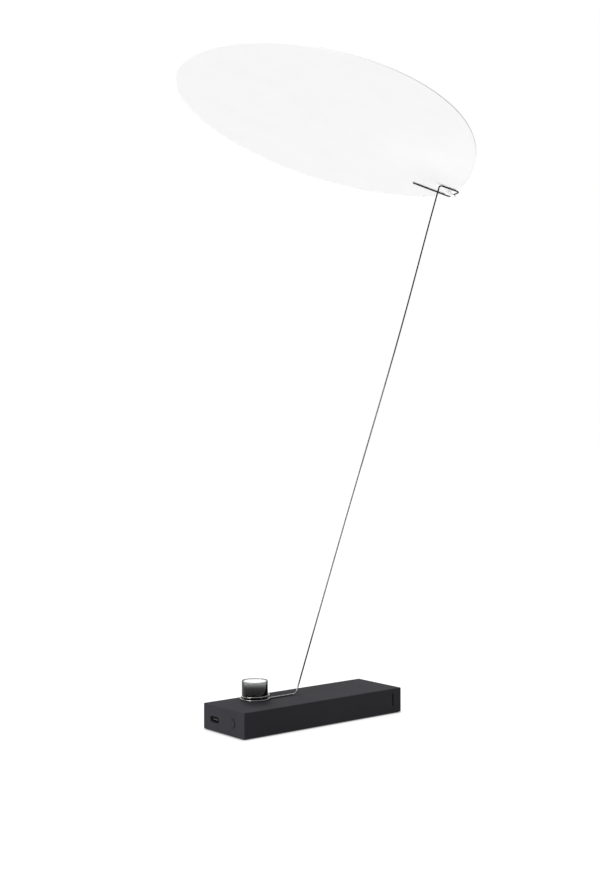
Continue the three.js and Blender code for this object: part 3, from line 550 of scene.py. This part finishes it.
def make_softened(name: str, node: str, finish: Finish, width: float) -> None:
    """Rebuilds one of the base's CAD nodes with its edges broken.

    Args:
        name: the new piece's name.
        node: the CAD node that it replaces.
        finish: what it is finished in.
        width: the broken edges' width.
    """
    piece = make_piece(name, merged_copy(node), finish, Body.BASE, (node,))
    soften(piece, width)


def dress(finish: Finish, *nodes: str) -> None:
    """Gives CAD nodes that stay their finish.

    Args:
        finish: the finish.
        nodes: the nodes' names.
    """
    for node in nodes:
        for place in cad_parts[node].material_slots:
            place.material = finish.material()
        log.info("%s wears %s", node, finish.name)


@dataclass
class BatteryBase:
    """The low box: tube, two end caps, foot pad and the screws under it."""

    edge_round: float = 0.12
    slot_round: float = 0.1
    foot_round: float = 0.2

    def build(self) -> None:
        """Builds the box from its solids, with every edge broken."""
        make_softened("base_shell", "base_tube", CASE, self.edge_round)
        for node in ("port_end_cap", "far_end_cap"):
            make_softened(f"{node}_shell", node, CASE, self.slot_round)
        make_softened("foot_sole", "foot_pad", RUBBER, self.foot_round)
        dress(STEEL, "cap_screw_1", "cap_screw_2", "cap_screw_3", "cap_screw_4")
        dress(BLACK_PLASTIC, "chassis_tray")


@dataclass
class ChargingPort:
    """The port in the base's end: metal shell, tongue and its row of contacts."""

    contacts: int = 12
    contact_pitch: float = 0.5
    contact_width: float = 0.26
    contact_length: float = 3.4
    contact_thickness: float = 0.06
    contact_from_tip: float = 0.4
    shell_round: float = 0.08
    tongue_round: float = 0.12

    def build(self) -> None:
        """Builds the shell, the tongue and the contacts."""
        make_softened("port_sleeve", "port_shell", DARK_STEEL, self.shell_round)
        make_softened("port_blade", "port_tongue", GREY_PLASTIC, self.tongue_round)
        make_piece("port_contacts", self.contact_rows(), GOLD, Body.BASE)

    def contact_rows(self) -> Mesh:
        """Thin strips side by side on both faces of the tongue.

        Returns:
            Their mesh, in its place.
        """
        bm = bmesh.new()
        low, high, middle = reach("port_tongue")
        along = low.x + self.contact_from_tip + self.contact_length / 2
        first = middle.y - self.contact_pitch * (self.contacts - 1) / 2
        for face in (low.z - self.contact_thickness / 2, high.z + self.contact_thickness / 2):
            for index in range(self.contacts):
                strip = bmesh.ops.create_cube(bm, size=MM)["verts"]
                bmesh.ops.scale(
                    bm, verts=strip, vec=(self.contact_length, self.contact_width, self.contact_thickness))
                bmesh.ops.translate(bm, verts=strip, vec=mm(along, first + index * self.contact_pitch, face))
        return bm


def quarter_round(radius: float, steps: int) -> list[Mark]:
    """How far each place of a rounded edge lies inside its two faces, from the first to the second."""
    angles = [math.pi / 2 * step / steps for step in range(steps + 1)]
    return [(radius * (1 - math.sin(angle)), radius * (1 - math.cos(angle))) for angle in angles]


def spun(profile: list[Triple], axis: Triple, steps: int, middle: Vector) -> Mesh:
    """Turns an open profile about an axis.

    Args:
        profile: places about the origin, the first or both ends of them on the axis.
        axis: the axis' direction.
        steps: how many faces go round.
        middle: where the origin is moved to.

    Returns:
        The mesh in metres, closed where both ends are on the axis, with its faces outwards.
    """
    bm = bmesh.new()
    verts = [bm.verts.new(mm(*place)) for place in profile]
    edges = [bm.edges.new(pair) for pair in zip(verts, verts[1:])]
    bmesh.ops.spin(
        bm, geom=verts + edges, cent=(0, 0, 0), axis=axis, angle=2 * math.pi, steps=steps, use_merge=True)
    bmesh.ops.remove_doubles(bm, verts=bm.verts[:], dist=WELD)
    bmesh.ops.recalc_face_normals(bm, faces=bm.faces[:])
    bmesh.ops.translate(bm, verts=bm.verts[:], vec=middle * MM)
    return bm


@dataclass
class PushButton:
    """The round button that stands a little out of the base's end, with a shallow dish for the fingertip."""

    radius: float = 3.25
    edge_round: float = 0.4
    edge_steps: int = 5
    dish_depth: float = 0.2
    dish_share: float = 0.8
    dish_steps: int = 8
    flange_thickness: float = 1.0
    stem_radius: float = 1.6
    stem_length: float = 0.9
    steps: int = 96

    def build(self) -> None:
        """Turns the button from its profile."""
        low, high, middle = reach("power_button")
        flange_right = high.x - self.stem_length
        flange_left = flange_right - self.flange_thickness
        flange_radius = (high.z - low.z) / 2
        dish = self.radius * self.dish_share
        profile = [
            (high.x, 0.0),
            (high.x, self.stem_radius),
            (flange_right, self.stem_radius),
            (flange_right, flange_radius),
            (flange_left, flange_radius),
            (flange_left, self.radius),
        ]
        for inward, down in quarter_round(self.edge_round, self.edge_steps):
            profile.append((low.x + inward, self.radius - down))
        for step in range(self.dish_steps + 1):
            share = step / self.dish_steps
            depth = self.dish_depth * math.sin(share * math.pi / 2) ** 2
            profile.append((low.x + depth, dish * (1 - share)))
        middle.x = 0
        bm = spun([(x, radius, 0) for x, radius in profile], (1, 0, 0), self.steps, middle)
        make_piece("button_cap", bm, CASE, Body.BUTTON, ("power_button",))
        dress(BLACK_PLASTIC, "switch_plunger", "switch_body")


@dataclass
class LightEngine:
    """The clear lens that stands out of the base's top, and what lies under it."""

    radius: float = 10.8
    shoulder: float = LENS_SHOULDER
    spigot_radius: float = 8.0
    pocket_radius: float = 3.4
    pocket_top_radius: float = 1.0
    pocket_depth: float = 2.2
    rim_round: float = 0.35
    rim_steps: int = 4
    window_radius: float = 10.15
    window_recess: float = 0.9
    window_thickness: float = 0.25
    window_gap: float = 0.02
    window_round: float = 0.06
    steps: int = 128

    def build(self) -> None:
        """Turns the lens and its frosted window, and dresses the parts below them."""
        low, high, axis = reach("lens")
        axis.z = 0
        make_piece("spot_lens", self.turned_lens(low.z, high.z, axis), LENS, Body.BASE, ("lens",))
        window = make_piece(
            "lens_window", self.turned_window(high.z - self.window_recess, axis), WINDOW, Body.BASE)
        soften(window, self.window_round)
        dress(BLACK_PLASTIC, "lens_holder")
        dress(WHITE_BOARD, "led_board")
        dress(PHOSPHOR, "led_emitter")
        dress(ALUMINIUM, "heat_spreader")
        dress(STEEL, "led_screw_1", "led_screw_2")
        dress(RED_SLEEVE, "led_lead_red")
        dress(BLACK_SLEEVE, "led_lead_black")

    def turned_lens(self, bottom: float, top: float, axis: Vector) -> Mesh:
        """The lens: pocket over the emitter, spigot, shoulder, wall, rounded rim and a shallow seat.

        Args:
            bottom: the spigot's lower end.
            top: the rim's height.
            axis: the lens' axis at height 0.

        Returns:
            The closed mesh, in its place.
        """
        rim = [
            (self.radius - inward, 0, top - down)
            for down, inward in quarter_round(self.rim_round, self.rim_steps)
        ]
        seat_radius = self.window_radius + self.window_gap
        seat = top - self.window_recess - self.window_thickness - self.window_gap
        profile = [
            (0, 0, bottom + self.pocket_depth),
            (self.pocket_top_radius, 0, bottom + self.pocket_depth),
            (self.pocket_radius, 0, bottom),
            (self.spigot_radius, 0, bottom),
            (self.spigot_radius, 0, self.shoulder),
            (self.radius, 0, self.shoulder),
            *rim,
            (seat_radius, 0, top),
            (seat_radius, 0, seat),
            (0, 0, seat),
        ]
        return spun(profile, (0, 0, 1), self.steps, axis)

    def turned_window(self, top: float, axis: Vector) -> Mesh:
        """The thin frosted disc that lies in the lens' top.

        Args:
            top: the height of its face.
            axis: the lens' axis at height 0.

        Returns:
            The closed mesh, in its place.
        """
        bottom = top - self.window_thickness
        profile = [(0, 0, bottom), (self.window_radius, 0, bottom), (self.window_radius, 0, top), (0, 0, top)]
        return spun(profile, (0, 0, 1), self.steps, axis)


@dataclass
class BatteryPack:
    """Two pouch cells under a foam pad, with their protection board and leads."""

    pad_round: float = 0.4

    def build(self) -> None:
        """Builds the foam pad and dresses the cells."""
        low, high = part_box("foam_pad")
        bm = bmesh.new()
        bmesh.ops.create_cube(bm, size=1)
        bmesh.ops.scale(bm, verts=bm.verts[:], vec=high - low)
        bmesh.ops.translate(bm, verts=bm.verts[:], vec=(high + low) / 2)
        bmesh.ops.bevel(
            bm, geom=bm.edges[:], offset=self.pad_round * MM, segments=ROUND_SEGMENTS, affect="EDGES",
            profile=0.5, material=-1, clamp_overlap=True)
        pad = make_piece("foam_cushion", bm, FOAM, Body.BASE, ("foam_pad",))
        dress(POUCH, "lower_cell", "upper_cell")
        dress(GREEN_BOARD, "protection_board")
        dress(RED_SLEEVE, "battery_lead_red")
        dress(BLACK_SLEEVE, "battery_lead_black")


@dataclass
class ControlBoard:
    """The board behind the port and the button, with its parts and screws."""

    def build(self) -> None:
        """Dresses the board and what it carries."""
        dress(GREEN_BOARD, "control_board")
        dress(BLACK_PLASTIC, "controller_chip", "charger_chip")
        dress(WHITE_BOARD, "battery_socket", "battery_plug")
        dress(FERRITE, "inductor")
        dress(ALUMINIUM, "smoothing_capacitor")
        dress(STEEL, "board_screw_1", "board_screw_2")


@dataclass
class WireArm:
    """One steel wire: coil round the lens, run along the base, leaning rod and three-sided clip."""

    diameter: float = 1.3
    height: float = 21.85
    coil_radius: float = 11.8
    coil_exit: float = -40
    coil_exit_length: float = 0.95
    coil_exit_bend: float = 1.8
    coil_climb: tuple[Mark, ...] = ((0, 0), (0.47, 0), (0.97, 2.7), (1.22, 2.6), (1.41, 1.95))
    coil_steps: int = 96
    foot: Vector = spot(-5.26, 5.74285, 21.85)
    rod_top: Vector = spot(164.10134, 5.74285, 465.36357)
    near_corner: Vector = spot(176.67, -7.14, 458.61)
    far_corner: Vector = spot(182.62, 12.02, 458.0)
    leg_end: Vector = spot(158.09, 34.55, 470.92)
    foot_bend: float = 4.5
    top_bend: float = 2.2
    clip_bend: float = 1.8
    bend_steps: int = 14
    rod_steps: int = 48
    rod_bow: float = 2.1
    bow_skew_share: float = 1.71
    sides: int = 20
    wall_corners: int = 4
    smooth_below: float = 50
    end_round: float = 0.2
    end_segments: int = 3

    def build(self) -> None:
        """Draws the wire along its line and rounds its two cut ends."""
        line = bpy.data.curves.new("wire_line", "CURVE")
        line.dimensions = "3D"
        line.bevel_depth = self.diameter / 2 * MM
        line.bevel_resolution = self.sides // 4 - 1
        line.use_fill_caps = True
        stations = self.stations()
        spline = line.splines.new("POLY")
        spline.points.add(len(stations) - 1)
        for point, station in zip(spline.points, stations):
            point.co = (*(station * MM), 1)
        drawn = bpy.data.objects.new("wire_line", line)
        bpy.context.scene.collection.objects.link(drawn)
        mesh = drawn.to_mesh()
        bm = bmesh.new()
        bm.from_mesh(mesh)
        drawn.to_mesh_clear()
        bpy.data.objects.remove(drawn)
        bmesh.ops.remove_doubles(bm, verts=bm.verts[:], dist=WELD)
        ends = [face for face in bm.faces if len(face.verts) > self.wall_corners]
        rims = {edge for face in ends for edge in face.edges}
        bmesh.ops.bevel(
            bm, geom=list(rims), offset=self.end_round * MM, segments=self.end_segments, affect="EDGES",
            profile=0.5, material=-1, clamp_overlap=True)
        bmesh.ops.recalc_face_normals(bm, faces=bm.faces[:])
        make_piece("wire_arm", bm, WIRE, Body.ARM, ("rod_wire",), self.smooth_below)

    def stations(self) -> list[Vector]:
        """The wire's middle line, from the top of the coil to the far leg's end.

        Returns:
            Its places in order.
        """
        _, _, axis = reach("lens")
        coil_end = self.coil_place(axis, 0)
        leaves = math.radians(self.coil_exit)
        run_corner = coil_end + Vector((-math.sin(leaves), math.cos(leaves), 0)) * self.coil_exit_length
        at_foot = self.bend(run_corner, self.foot, self.rod_top, self.foot_bend)
        at_top = self.bend(self.foot, self.rod_top, self.near_corner, self.top_bend)
        return [
            *self.coil(axis),
            *self.bend(coil_end, run_corner, self.foot, self.coil_exit_bend),
            *at_foot,
            *self.rod(at_foot[-1], at_top[0]),
            *at_top,
            *self.bend(self.rod_top, self.near_corner, self.far_corner, self.clip_bend),
            *self.bend(self.near_corner, self.far_corner, self.leg_end, self.clip_bend),
            self.leg_end,
        ]

    def coil(self, axis: Vector) -> list[Vector]:
        """The coil's line round the lens, down to where the run leaves it.

        Args:
            axis: a place on the lens' axis.

        Returns:
            Its places in order.
        """
        turns = self.coil_climb[-1][0]
        count = round(turns * self.coil_steps)
        return [self.coil_place(axis, turns * (1 - index / count)) for index in range(count)]

    def coil_place(self, axis: Vector, turns: float) -> Vector:
        """The coil's place so many turns back from where the run leaves it.

        Args:
            axis: a place on the lens' axis.
            turns: how many turns back.

        Returns:
            The place.
        """
        angle = math.radians(self.coil_exit) - 2 * math.pi * turns
        climbs = zip(self.coil_climb, self.coil_climb[1:])
        (start, low), (end, high) = next(climb for climb in climbs if turns <= climb[1][0])
        return Vector((
            axis.x + self.coil_radius * math.cos(angle),
            axis.y + self.coil_radius * math.sin(angle),
            self.height + low + (high - low) * eased((turns - start) / (end - start))))

    def rod(self, start: Vector, end: Vector) -> list[Vector]:
        """The rod's line between its bends, with the slight bow that the sheet's weight gives it.

        Args:
            start: where the bend at the rod's foot ends.
            end: where the bend at its top starts.

        Returns:
            The places between them in order.
        """
        along = (self.rod_top - self.foot).normalized()
        bow_way = Vector((along.z, 0, -along.x))
        places = []
        for index in range(1, self.rod_steps):
            share = index / self.rod_steps
            bow = self.rod_bow * math.sin(math.pi * share ** self.bow_skew_share) ** 2
            places.append(start + along * (end - start).length * share + bow_way * bow)
        return places

    def bend(self, before: Vector, corner: Vector, after: Vector, radius: float) -> list[Vector]:
        """The places of an arc that rounds a corner.

        Args:
            before: where the wire comes from.
            corner: where the two straight stretches would meet.
            after: where the wire goes.
            radius: the radius of the wire's middle line.

        Returns:
            The arc's places in order, both ends included.
        """
        arriving = (corner - before).normalized()
        leaving = (after - corner).normalized()
        turn = arriving.angle(leaving)
        start = corner - arriving * radius * math.tan(turn / 2)
        axis = arriving.cross(leaving).normalized()
        inward = axis.cross(arriving)
        centre = start + inward * radius
        return [
            centre + Matrix.Rotation(turn * step / self.bend_steps, 3, axis) @ (-inward * radius)
            for step in range(self.bend_steps + 1)
        ]


@dataclass
class HangingSheet:
    """The round white sheet in the clip: bowed, drooping at the clip, and held by a slit tongue."""

    radius: float = 136.25
    thickness: float = 0.8
    tilt: float = 18.33
    roll: float = -1.26
    centre: Vector = spot(57.502, 40.32533, 516.02564)
    bow_drop: float = 5.6
    droop_depth: float = 8.7
    droop_spread: float = 49.6
    droop_angle: float = -21.3
    grip_centre: Vector = spot(122.37154, -26.63093)
    flat_radius: float = 30.0
    blend_radius: float = 70.0
    clip_reach: float = 3.33
    clip_angle: float = -15.94
    clip_drop: float = 1.35
    tongue_width: float = 4.5
    tongue_shift: float = 1.0
    tongue_slit: float = 0.6
    tongue_root: float = 9.5
    tongue_bend_start: float = 7.5
    tongue_bend_end: float = 2.0
    tongue_tip: float = 2.0
    rings: int = 48
    steps: int = 192
    bend_rows: int = 8
    cut_margin: float = 4.0
    rim_margin: float = 1.0
    seam_margin: float = 0.01
    probe_share: float = 0.001
    edge_round: float = 0.15
    edge_angle: float = 60

    def build(self) -> None:
        """Cuts the sheet flat, frees its tongue, then hangs it."""
        bm = self.flat_sheet()
        self.cut_tongue(bm)
        self.hang(bm)
        bmesh.ops.recalc_face_normals(bm, faces=bm.faces[:])
        piece = make_piece("reflector_sheet", bm, PAPER, Body.SHADE, ("reflector",), self.edge_angle)
        wall = piece.modifiers.new("thickness", "SOLIDIFY")
        wall.thickness = self.thickness * MM
        wall.offset = 0
        wall.use_even_offset = True
        edge = piece.modifiers.new("broken edge", "BEVEL")
        edge.width = self.edge_round * MM
        edge.segments = ROUND_SEGMENTS
        edge.limit_method = "ANGLE"
        edge.angle_limit = math.radians(self.edge_angle)

    def flat_sheet(self) -> Mesh:
        """The round sheet lying flat about the origin, one face thick."""
        line = [(self.radius * index / self.rings, 0, 0) for index in range(self.rings + 1)]
        return spun(line, (0, 0, 1), self.steps, Vector())

    def clip_axes(self) -> tuple[Vector, Vector, Vector]:
        """The directions on the flat sheet at the clip.

        Returns:
            Outward, sideways, and the place where the tongue meets the cross wire.
        """
        angle = math.radians(self.clip_angle)
        out = Vector((math.cos(angle), math.sin(angle), 0))
        side = Vector((-out.y, out.x, 0))
        return out, side, out * (self.radius + self.clip_reach) + side * self.tongue_shift

    def cut_tongue(self, bm: Mesh) -> None:
        """Slits the sheet at both sides of the tongue and draws the tongue out past the rim.

        Args:
            bm: the flat sheet.
        """
        out, side, cross = self.clip_axes()
        half = self.tongue_width / 2
        rows = [
            -self.tongue_bend_start
            + (self.tongue_bend_start - self.tongue_bend_end) * index / self.bend_rows
            for index in range(self.bend_rows + 1)
        ]
        cuts = [(side, place) for place in (-half - self.tongue_slit, -half, half, half + self.tongue_slit)]
        cuts += [(out, place) for place in [-self.tongue_root, *rows]]
        for direction, place in cuts:
            self.bisect_near(bm, direction, cross * MM + direction * place * MM)
        slits = []
        for face in bm.faces:
            outward, sideways = self.clip_place(face.calc_center_median())
            if outward > -self.tongue_bend_start and half < abs(sideways) < half + self.tongue_slit:
                slits.append(face)
        bmesh.ops.delete(bm, geom=slits, context="FACES")
        rim = []
        for edge in bm.edges:
            if edge.is_boundary:
                outward, sideways = self.clip_place((edge.verts[0].co + edge.verts[1].co) / 2)
                inside = abs(sideways) < half - self.seam_margin
                if inside and outward > -self.clip_reach - self.rim_margin:
                    rim.append(edge)
        drawn = bmesh.ops.extrude_edge_only(bm, edges=rim)
        for element in drawn["geom"]:
            if isinstance(element, bmesh.types.BMVert):
                outward, _ = self.clip_place(element.co)
                element.co += out * (self.tongue_tip - outward) * MM
        self.bisect_near(bm, out, cross * MM + out * (-self.tongue_bend_end) * MM)

    def bisect_near(self, bm: Mesh, direction: Vector, place: Vector) -> None:
        """Cuts the faces round the clip along a straight line.

        Args:
            bm: the flat sheet.
            direction: square to the cut.
            place: a place on the cut, in metres.
        """
        near = self.tongue_root + self.cut_margin
        faces = []
        for face in bm.faces:
            outward, sideways = self.clip_place(face.calc_center_median())
            if outward > -near and abs(sideways) < near:
                faces.append(face)
        edges = {edge for face in faces for edge in face.edges}
        verts = {vert for face in faces for vert in face.verts}
        bmesh.ops.bisect_plane(
            bm, geom=[*verts, *edges, *faces], plane_co=place, plane_no=direction, dist=WELD)

    def clip_place(self, place: Vector) -> tuple[float, float]:
        """Tells where a place on the flat sheet lies at the clip.

        Args:
            place: the place in metres.

        Returns:
            How far outside the cross wire and beside the tongue's middle.
        """
        out, side, cross = self.clip_axes()
        offset = place / MM - cross
        return offset.dot(out), offset.dot(side)

    def hanging_height(self, along: float, across: float) -> float:
        """Height of the bowed and drooping sheet over its own plane.

        Args:
            along: how far down the slope from its middle.
            across: how far across the slope.

        Returns:
            The height.
        """
        angle = math.radians(self.droop_angle)
        distance = math.hypot(along - self.radius * math.cos(angle), across - self.radius * math.sin(angle))
        bow = -self.bow_drop * (along / self.radius) ** 2
        return bow - self.droop_depth * math.exp(-(distance ** 2) / (2 * self.droop_spread ** 2))

    def grip_slopes(self) -> tuple[float, float, float]:
        """The plane of the sheet where the wires press it flat.

        Returns:
            Its height, and its slopes along and across.
        """
        probe = self.radius * self.probe_share
        along, across = self.grip_centre
        height = self.hanging_height(along, across)
        return (
            height,
            (self.hanging_height(along + probe, across) - height) / probe,
            (self.hanging_height(along, across + probe) - height) / probe)

    def hang(self, bm: Mesh) -> None:
        """Lifts every vertex to the hanging sheet's height and turns the sheet into the clip.

        Args:
            bm: the flat sheet with its tongue.
        """
        height, slope_along, slope_across = self.grip_slopes()
        grip_normal = Vector((-slope_along, -slope_across, 1)).normalized()
        half = self.tongue_width / 2
        for vert in bm.verts:
            along, across = vert.co.x / MM, vert.co.y / MM
            outward, sideways = self.clip_place(vert.co)
            from_along, from_across = along - self.grip_centre.x, across - self.grip_centre.y
            distance = math.hypot(from_along, from_across)
            flat = height + slope_along * from_along + slope_across * from_across
            share = min(max((distance - self.flat_radius) / (self.blend_radius - self.flat_radius), 0), 1)
            vert.co.z = (flat + eased(share) * (self.hanging_height(along, across) - flat)) * MM
            if abs(sideways) <= half + self.seam_margin and outward > -self.tongue_bend_start:
                vert.co += grip_normal * self.tongue_dip(outward) * MM
        bmesh.ops.transform(bm, matrix=self.hanging_frame(), verts=bm.verts[:])

    def tongue_dip(self, outward: float) -> float:
        """How the tongue goes down, to pass as far under the cross wire as the sheet lies over it.

        Args:
            outward: how far outside the cross wire.

        Returns:
            Its height over the sheet, below 0.
        """
        share = (outward + self.tongue_bend_start) / (self.tongue_bend_start - self.tongue_bend_end)
        return -2 * self.clip_drop * eased(min(max(share, 0), 1))

    def hanging_frame(self) -> Matrix:
        """The sheet's own frame in the row frame.

        Returns:
            The matrix whose axes run down the slope, across it and out of the sheet.
        """
        tilt, roll = math.radians(self.tilt), math.radians(self.roll)
        along = Vector((math.cos(tilt), 0, -math.sin(tilt)))
        normal = Vector((math.sin(tilt) * math.cos(roll), math.sin(roll), math.cos(tilt) * math.cos(roll)))
        across = normal.cross(along).normalized()
        turn = Matrix((along, across, normal)).transposed().to_4x4()
        return Matrix.Translation(self.centre * MM) @ turn


@dataclass(frozen=True)
class Sun:
    """A far lamp: a strength of pi shows a white surface as white, and its spread is in degrees."""

    name: str
    light_from: Triple
    strength: float
    spread: float

    def hang(self) -> None:
        """Adds the lamp to the scene."""
        lamp = bpy.data.lights.new(self.name, "SUN")
        lamp.energy = self.strength
        lamp.angle = math.radians(self.spread)
        hung = bpy.data.objects.new(self.name, lamp)
        hung.rotation_euler = (-Vector(self.light_from)).to_track_quat("-Z", "Y").to_euler()
        bpy.context.scene.collection.objects.link(hung)


@dataclass
class Studio:
    """Pale floor, plain soft light and the camera at the photograph's angle."""

    floor_size: float = 12.0
    floor_glow: float = 0.86
    floor_shade: float = 0.26
    floor_bounce: float = 0.35
    # The painted contact shadow's reach in millimetres and its samples.
    contact_reach: float = 4.0
    contact_samples: int = 16
    ambient: float = 0.3
    suns: tuple[Sun, ...] = (
        Sun("key_lamp", (-0.93, -0.14, 0.335), 3.0, 34),
        Sun("back_lamp", (0.38, 0.68, 0.63), 1.85, 28),
        Sun("under_fill", (0, 0, -1), 2.69, 60),
    )
    camera_place: Triple = (-0.71225, -0.86155, 0.24040)
    camera_turn: float = 39.36
    camera_pitch: float = 0.146
    camera_lens: float = 55.55
    sensor_width: float = 36

    def build(self) -> None:
        """Builds the floor, the world, the lamps and the camera."""
        bpy.context.scene.view_settings.view_transform = "Standard"
        self.lay_floor()
        self.light_world()
        for sun in self.suns:
            sun.hang()
        self.place_camera()

    def seen_directly(self, board: NodeBoard) -> Socket:
        """Tells rays that show a thing from those that light something with it.

        Args:
            board: the floor's or the world's node tree.

        Returns:
            1 for rays from the camera and for what gloss and glass show, else 0.
        """
        rays = board.add("ShaderNodeLightPath").outputs
        shown = board.larger(rays["Is Camera Ray"], rays["Is Glossy Ray"])
        return board.larger(shown, rays["Is Transmission Ray"])

    def lay_floor(self) -> None:
        """A pale floor that looks white and keeps the lamp's shadow; the dark line where the lamp stands is a
        painted contact shadow.
        """
        bm = bmesh.new()
        bmesh.ops.create_grid(bm, x_segments=1, y_segments=1, size=self.floor_size / 2)
        mesh = bpy.data.meshes.new("floor")
        bm.to_mesh(mesh)
        bm.free()
        material = bpy.data.materials.new("pale_floor")
        material.use_nodes = True
        board = NodeBoard(material.node_tree)
        # Painted contact shadow: the floor's glow is darkened where the base stands close over it.
        painted_contact_shadow = board.add(
            "ShaderNodeAmbientOcclusion", {"samples": self.contact_samples},
            Distance=self.contact_reach * MM)
        glow = board.add("ShaderNodeEmission", Color=painted_contact_shadow.outputs["Color"], Strength=self.floor_glow)
        shade = board.add("ShaderNodeBsdfDiffuse", Color=(*[self.floor_shade] * 3, 1))
        seen = board.add("ShaderNodeAddShader", None, {0: glow.outputs[0], 1: shade.outputs[0]})
        bounce = board.add("ShaderNodeBsdfDiffuse", Color=(*[self.floor_bounce] * 3, 1))
        board.show(board.either(self.seen_directly(board), bounce, seen))
        mesh.materials.append(material)
        floor = bpy.data.objects.new("floor", mesh)
        floor.visible_shadow = False
        bpy.context.scene.collection.objects.link(floor)

    def light_world(self) -> None:
        """White where it is seen, and a low even light on everything."""
        world = bpy.data.worlds.new("studio")
        world.use_nodes = True
        board = NodeBoard(world.node_tree)
        white = board.add("ShaderNodeBackground", Color=(1, 1, 1, 1), Strength=1.0)
        soft = board.add("ShaderNodeBackground", Color=(1, 1, 1, 1), Strength=self.ambient)
        board.show(board.either(self.seen_directly(board), soft, white), "ShaderNodeOutputWorld")
        bpy.context.scene.world = world

    def place_camera(self) -> None:
        """The camera where the photograph was taken from."""
        view = bpy.data.cameras.new("camera")
        view.lens = self.camera_lens
        view.sensor_width = self.sensor_width
        camera = bpy.data.objects.new("camera", view)
        camera.location = self.camera_place
        camera.rotation_euler = (
            math.radians(90 - self.camera_pitch), 0, -math.radians(self.camera_turn))
        bpy.context.scene.collection.objects.link(camera)
        bpy.context.scene.camera = camera


def main() -> None:
    """Builds the lamp, piece by piece, and the studio round it."""
    logging.basicConfig(level=logging.INFO, format="%(message)s")
    Studio().build()
    for assembly in (
        BatteryBase(), ChargingPort(), PushButton(), LightEngine(), BatteryPack(), ControlBoard(), WireArm(),
        HangingSheet(),
    ):
        log.info("building %s", type(assembly).__name__)
        assembly.build()


if __name__ == "__main__":
    main()
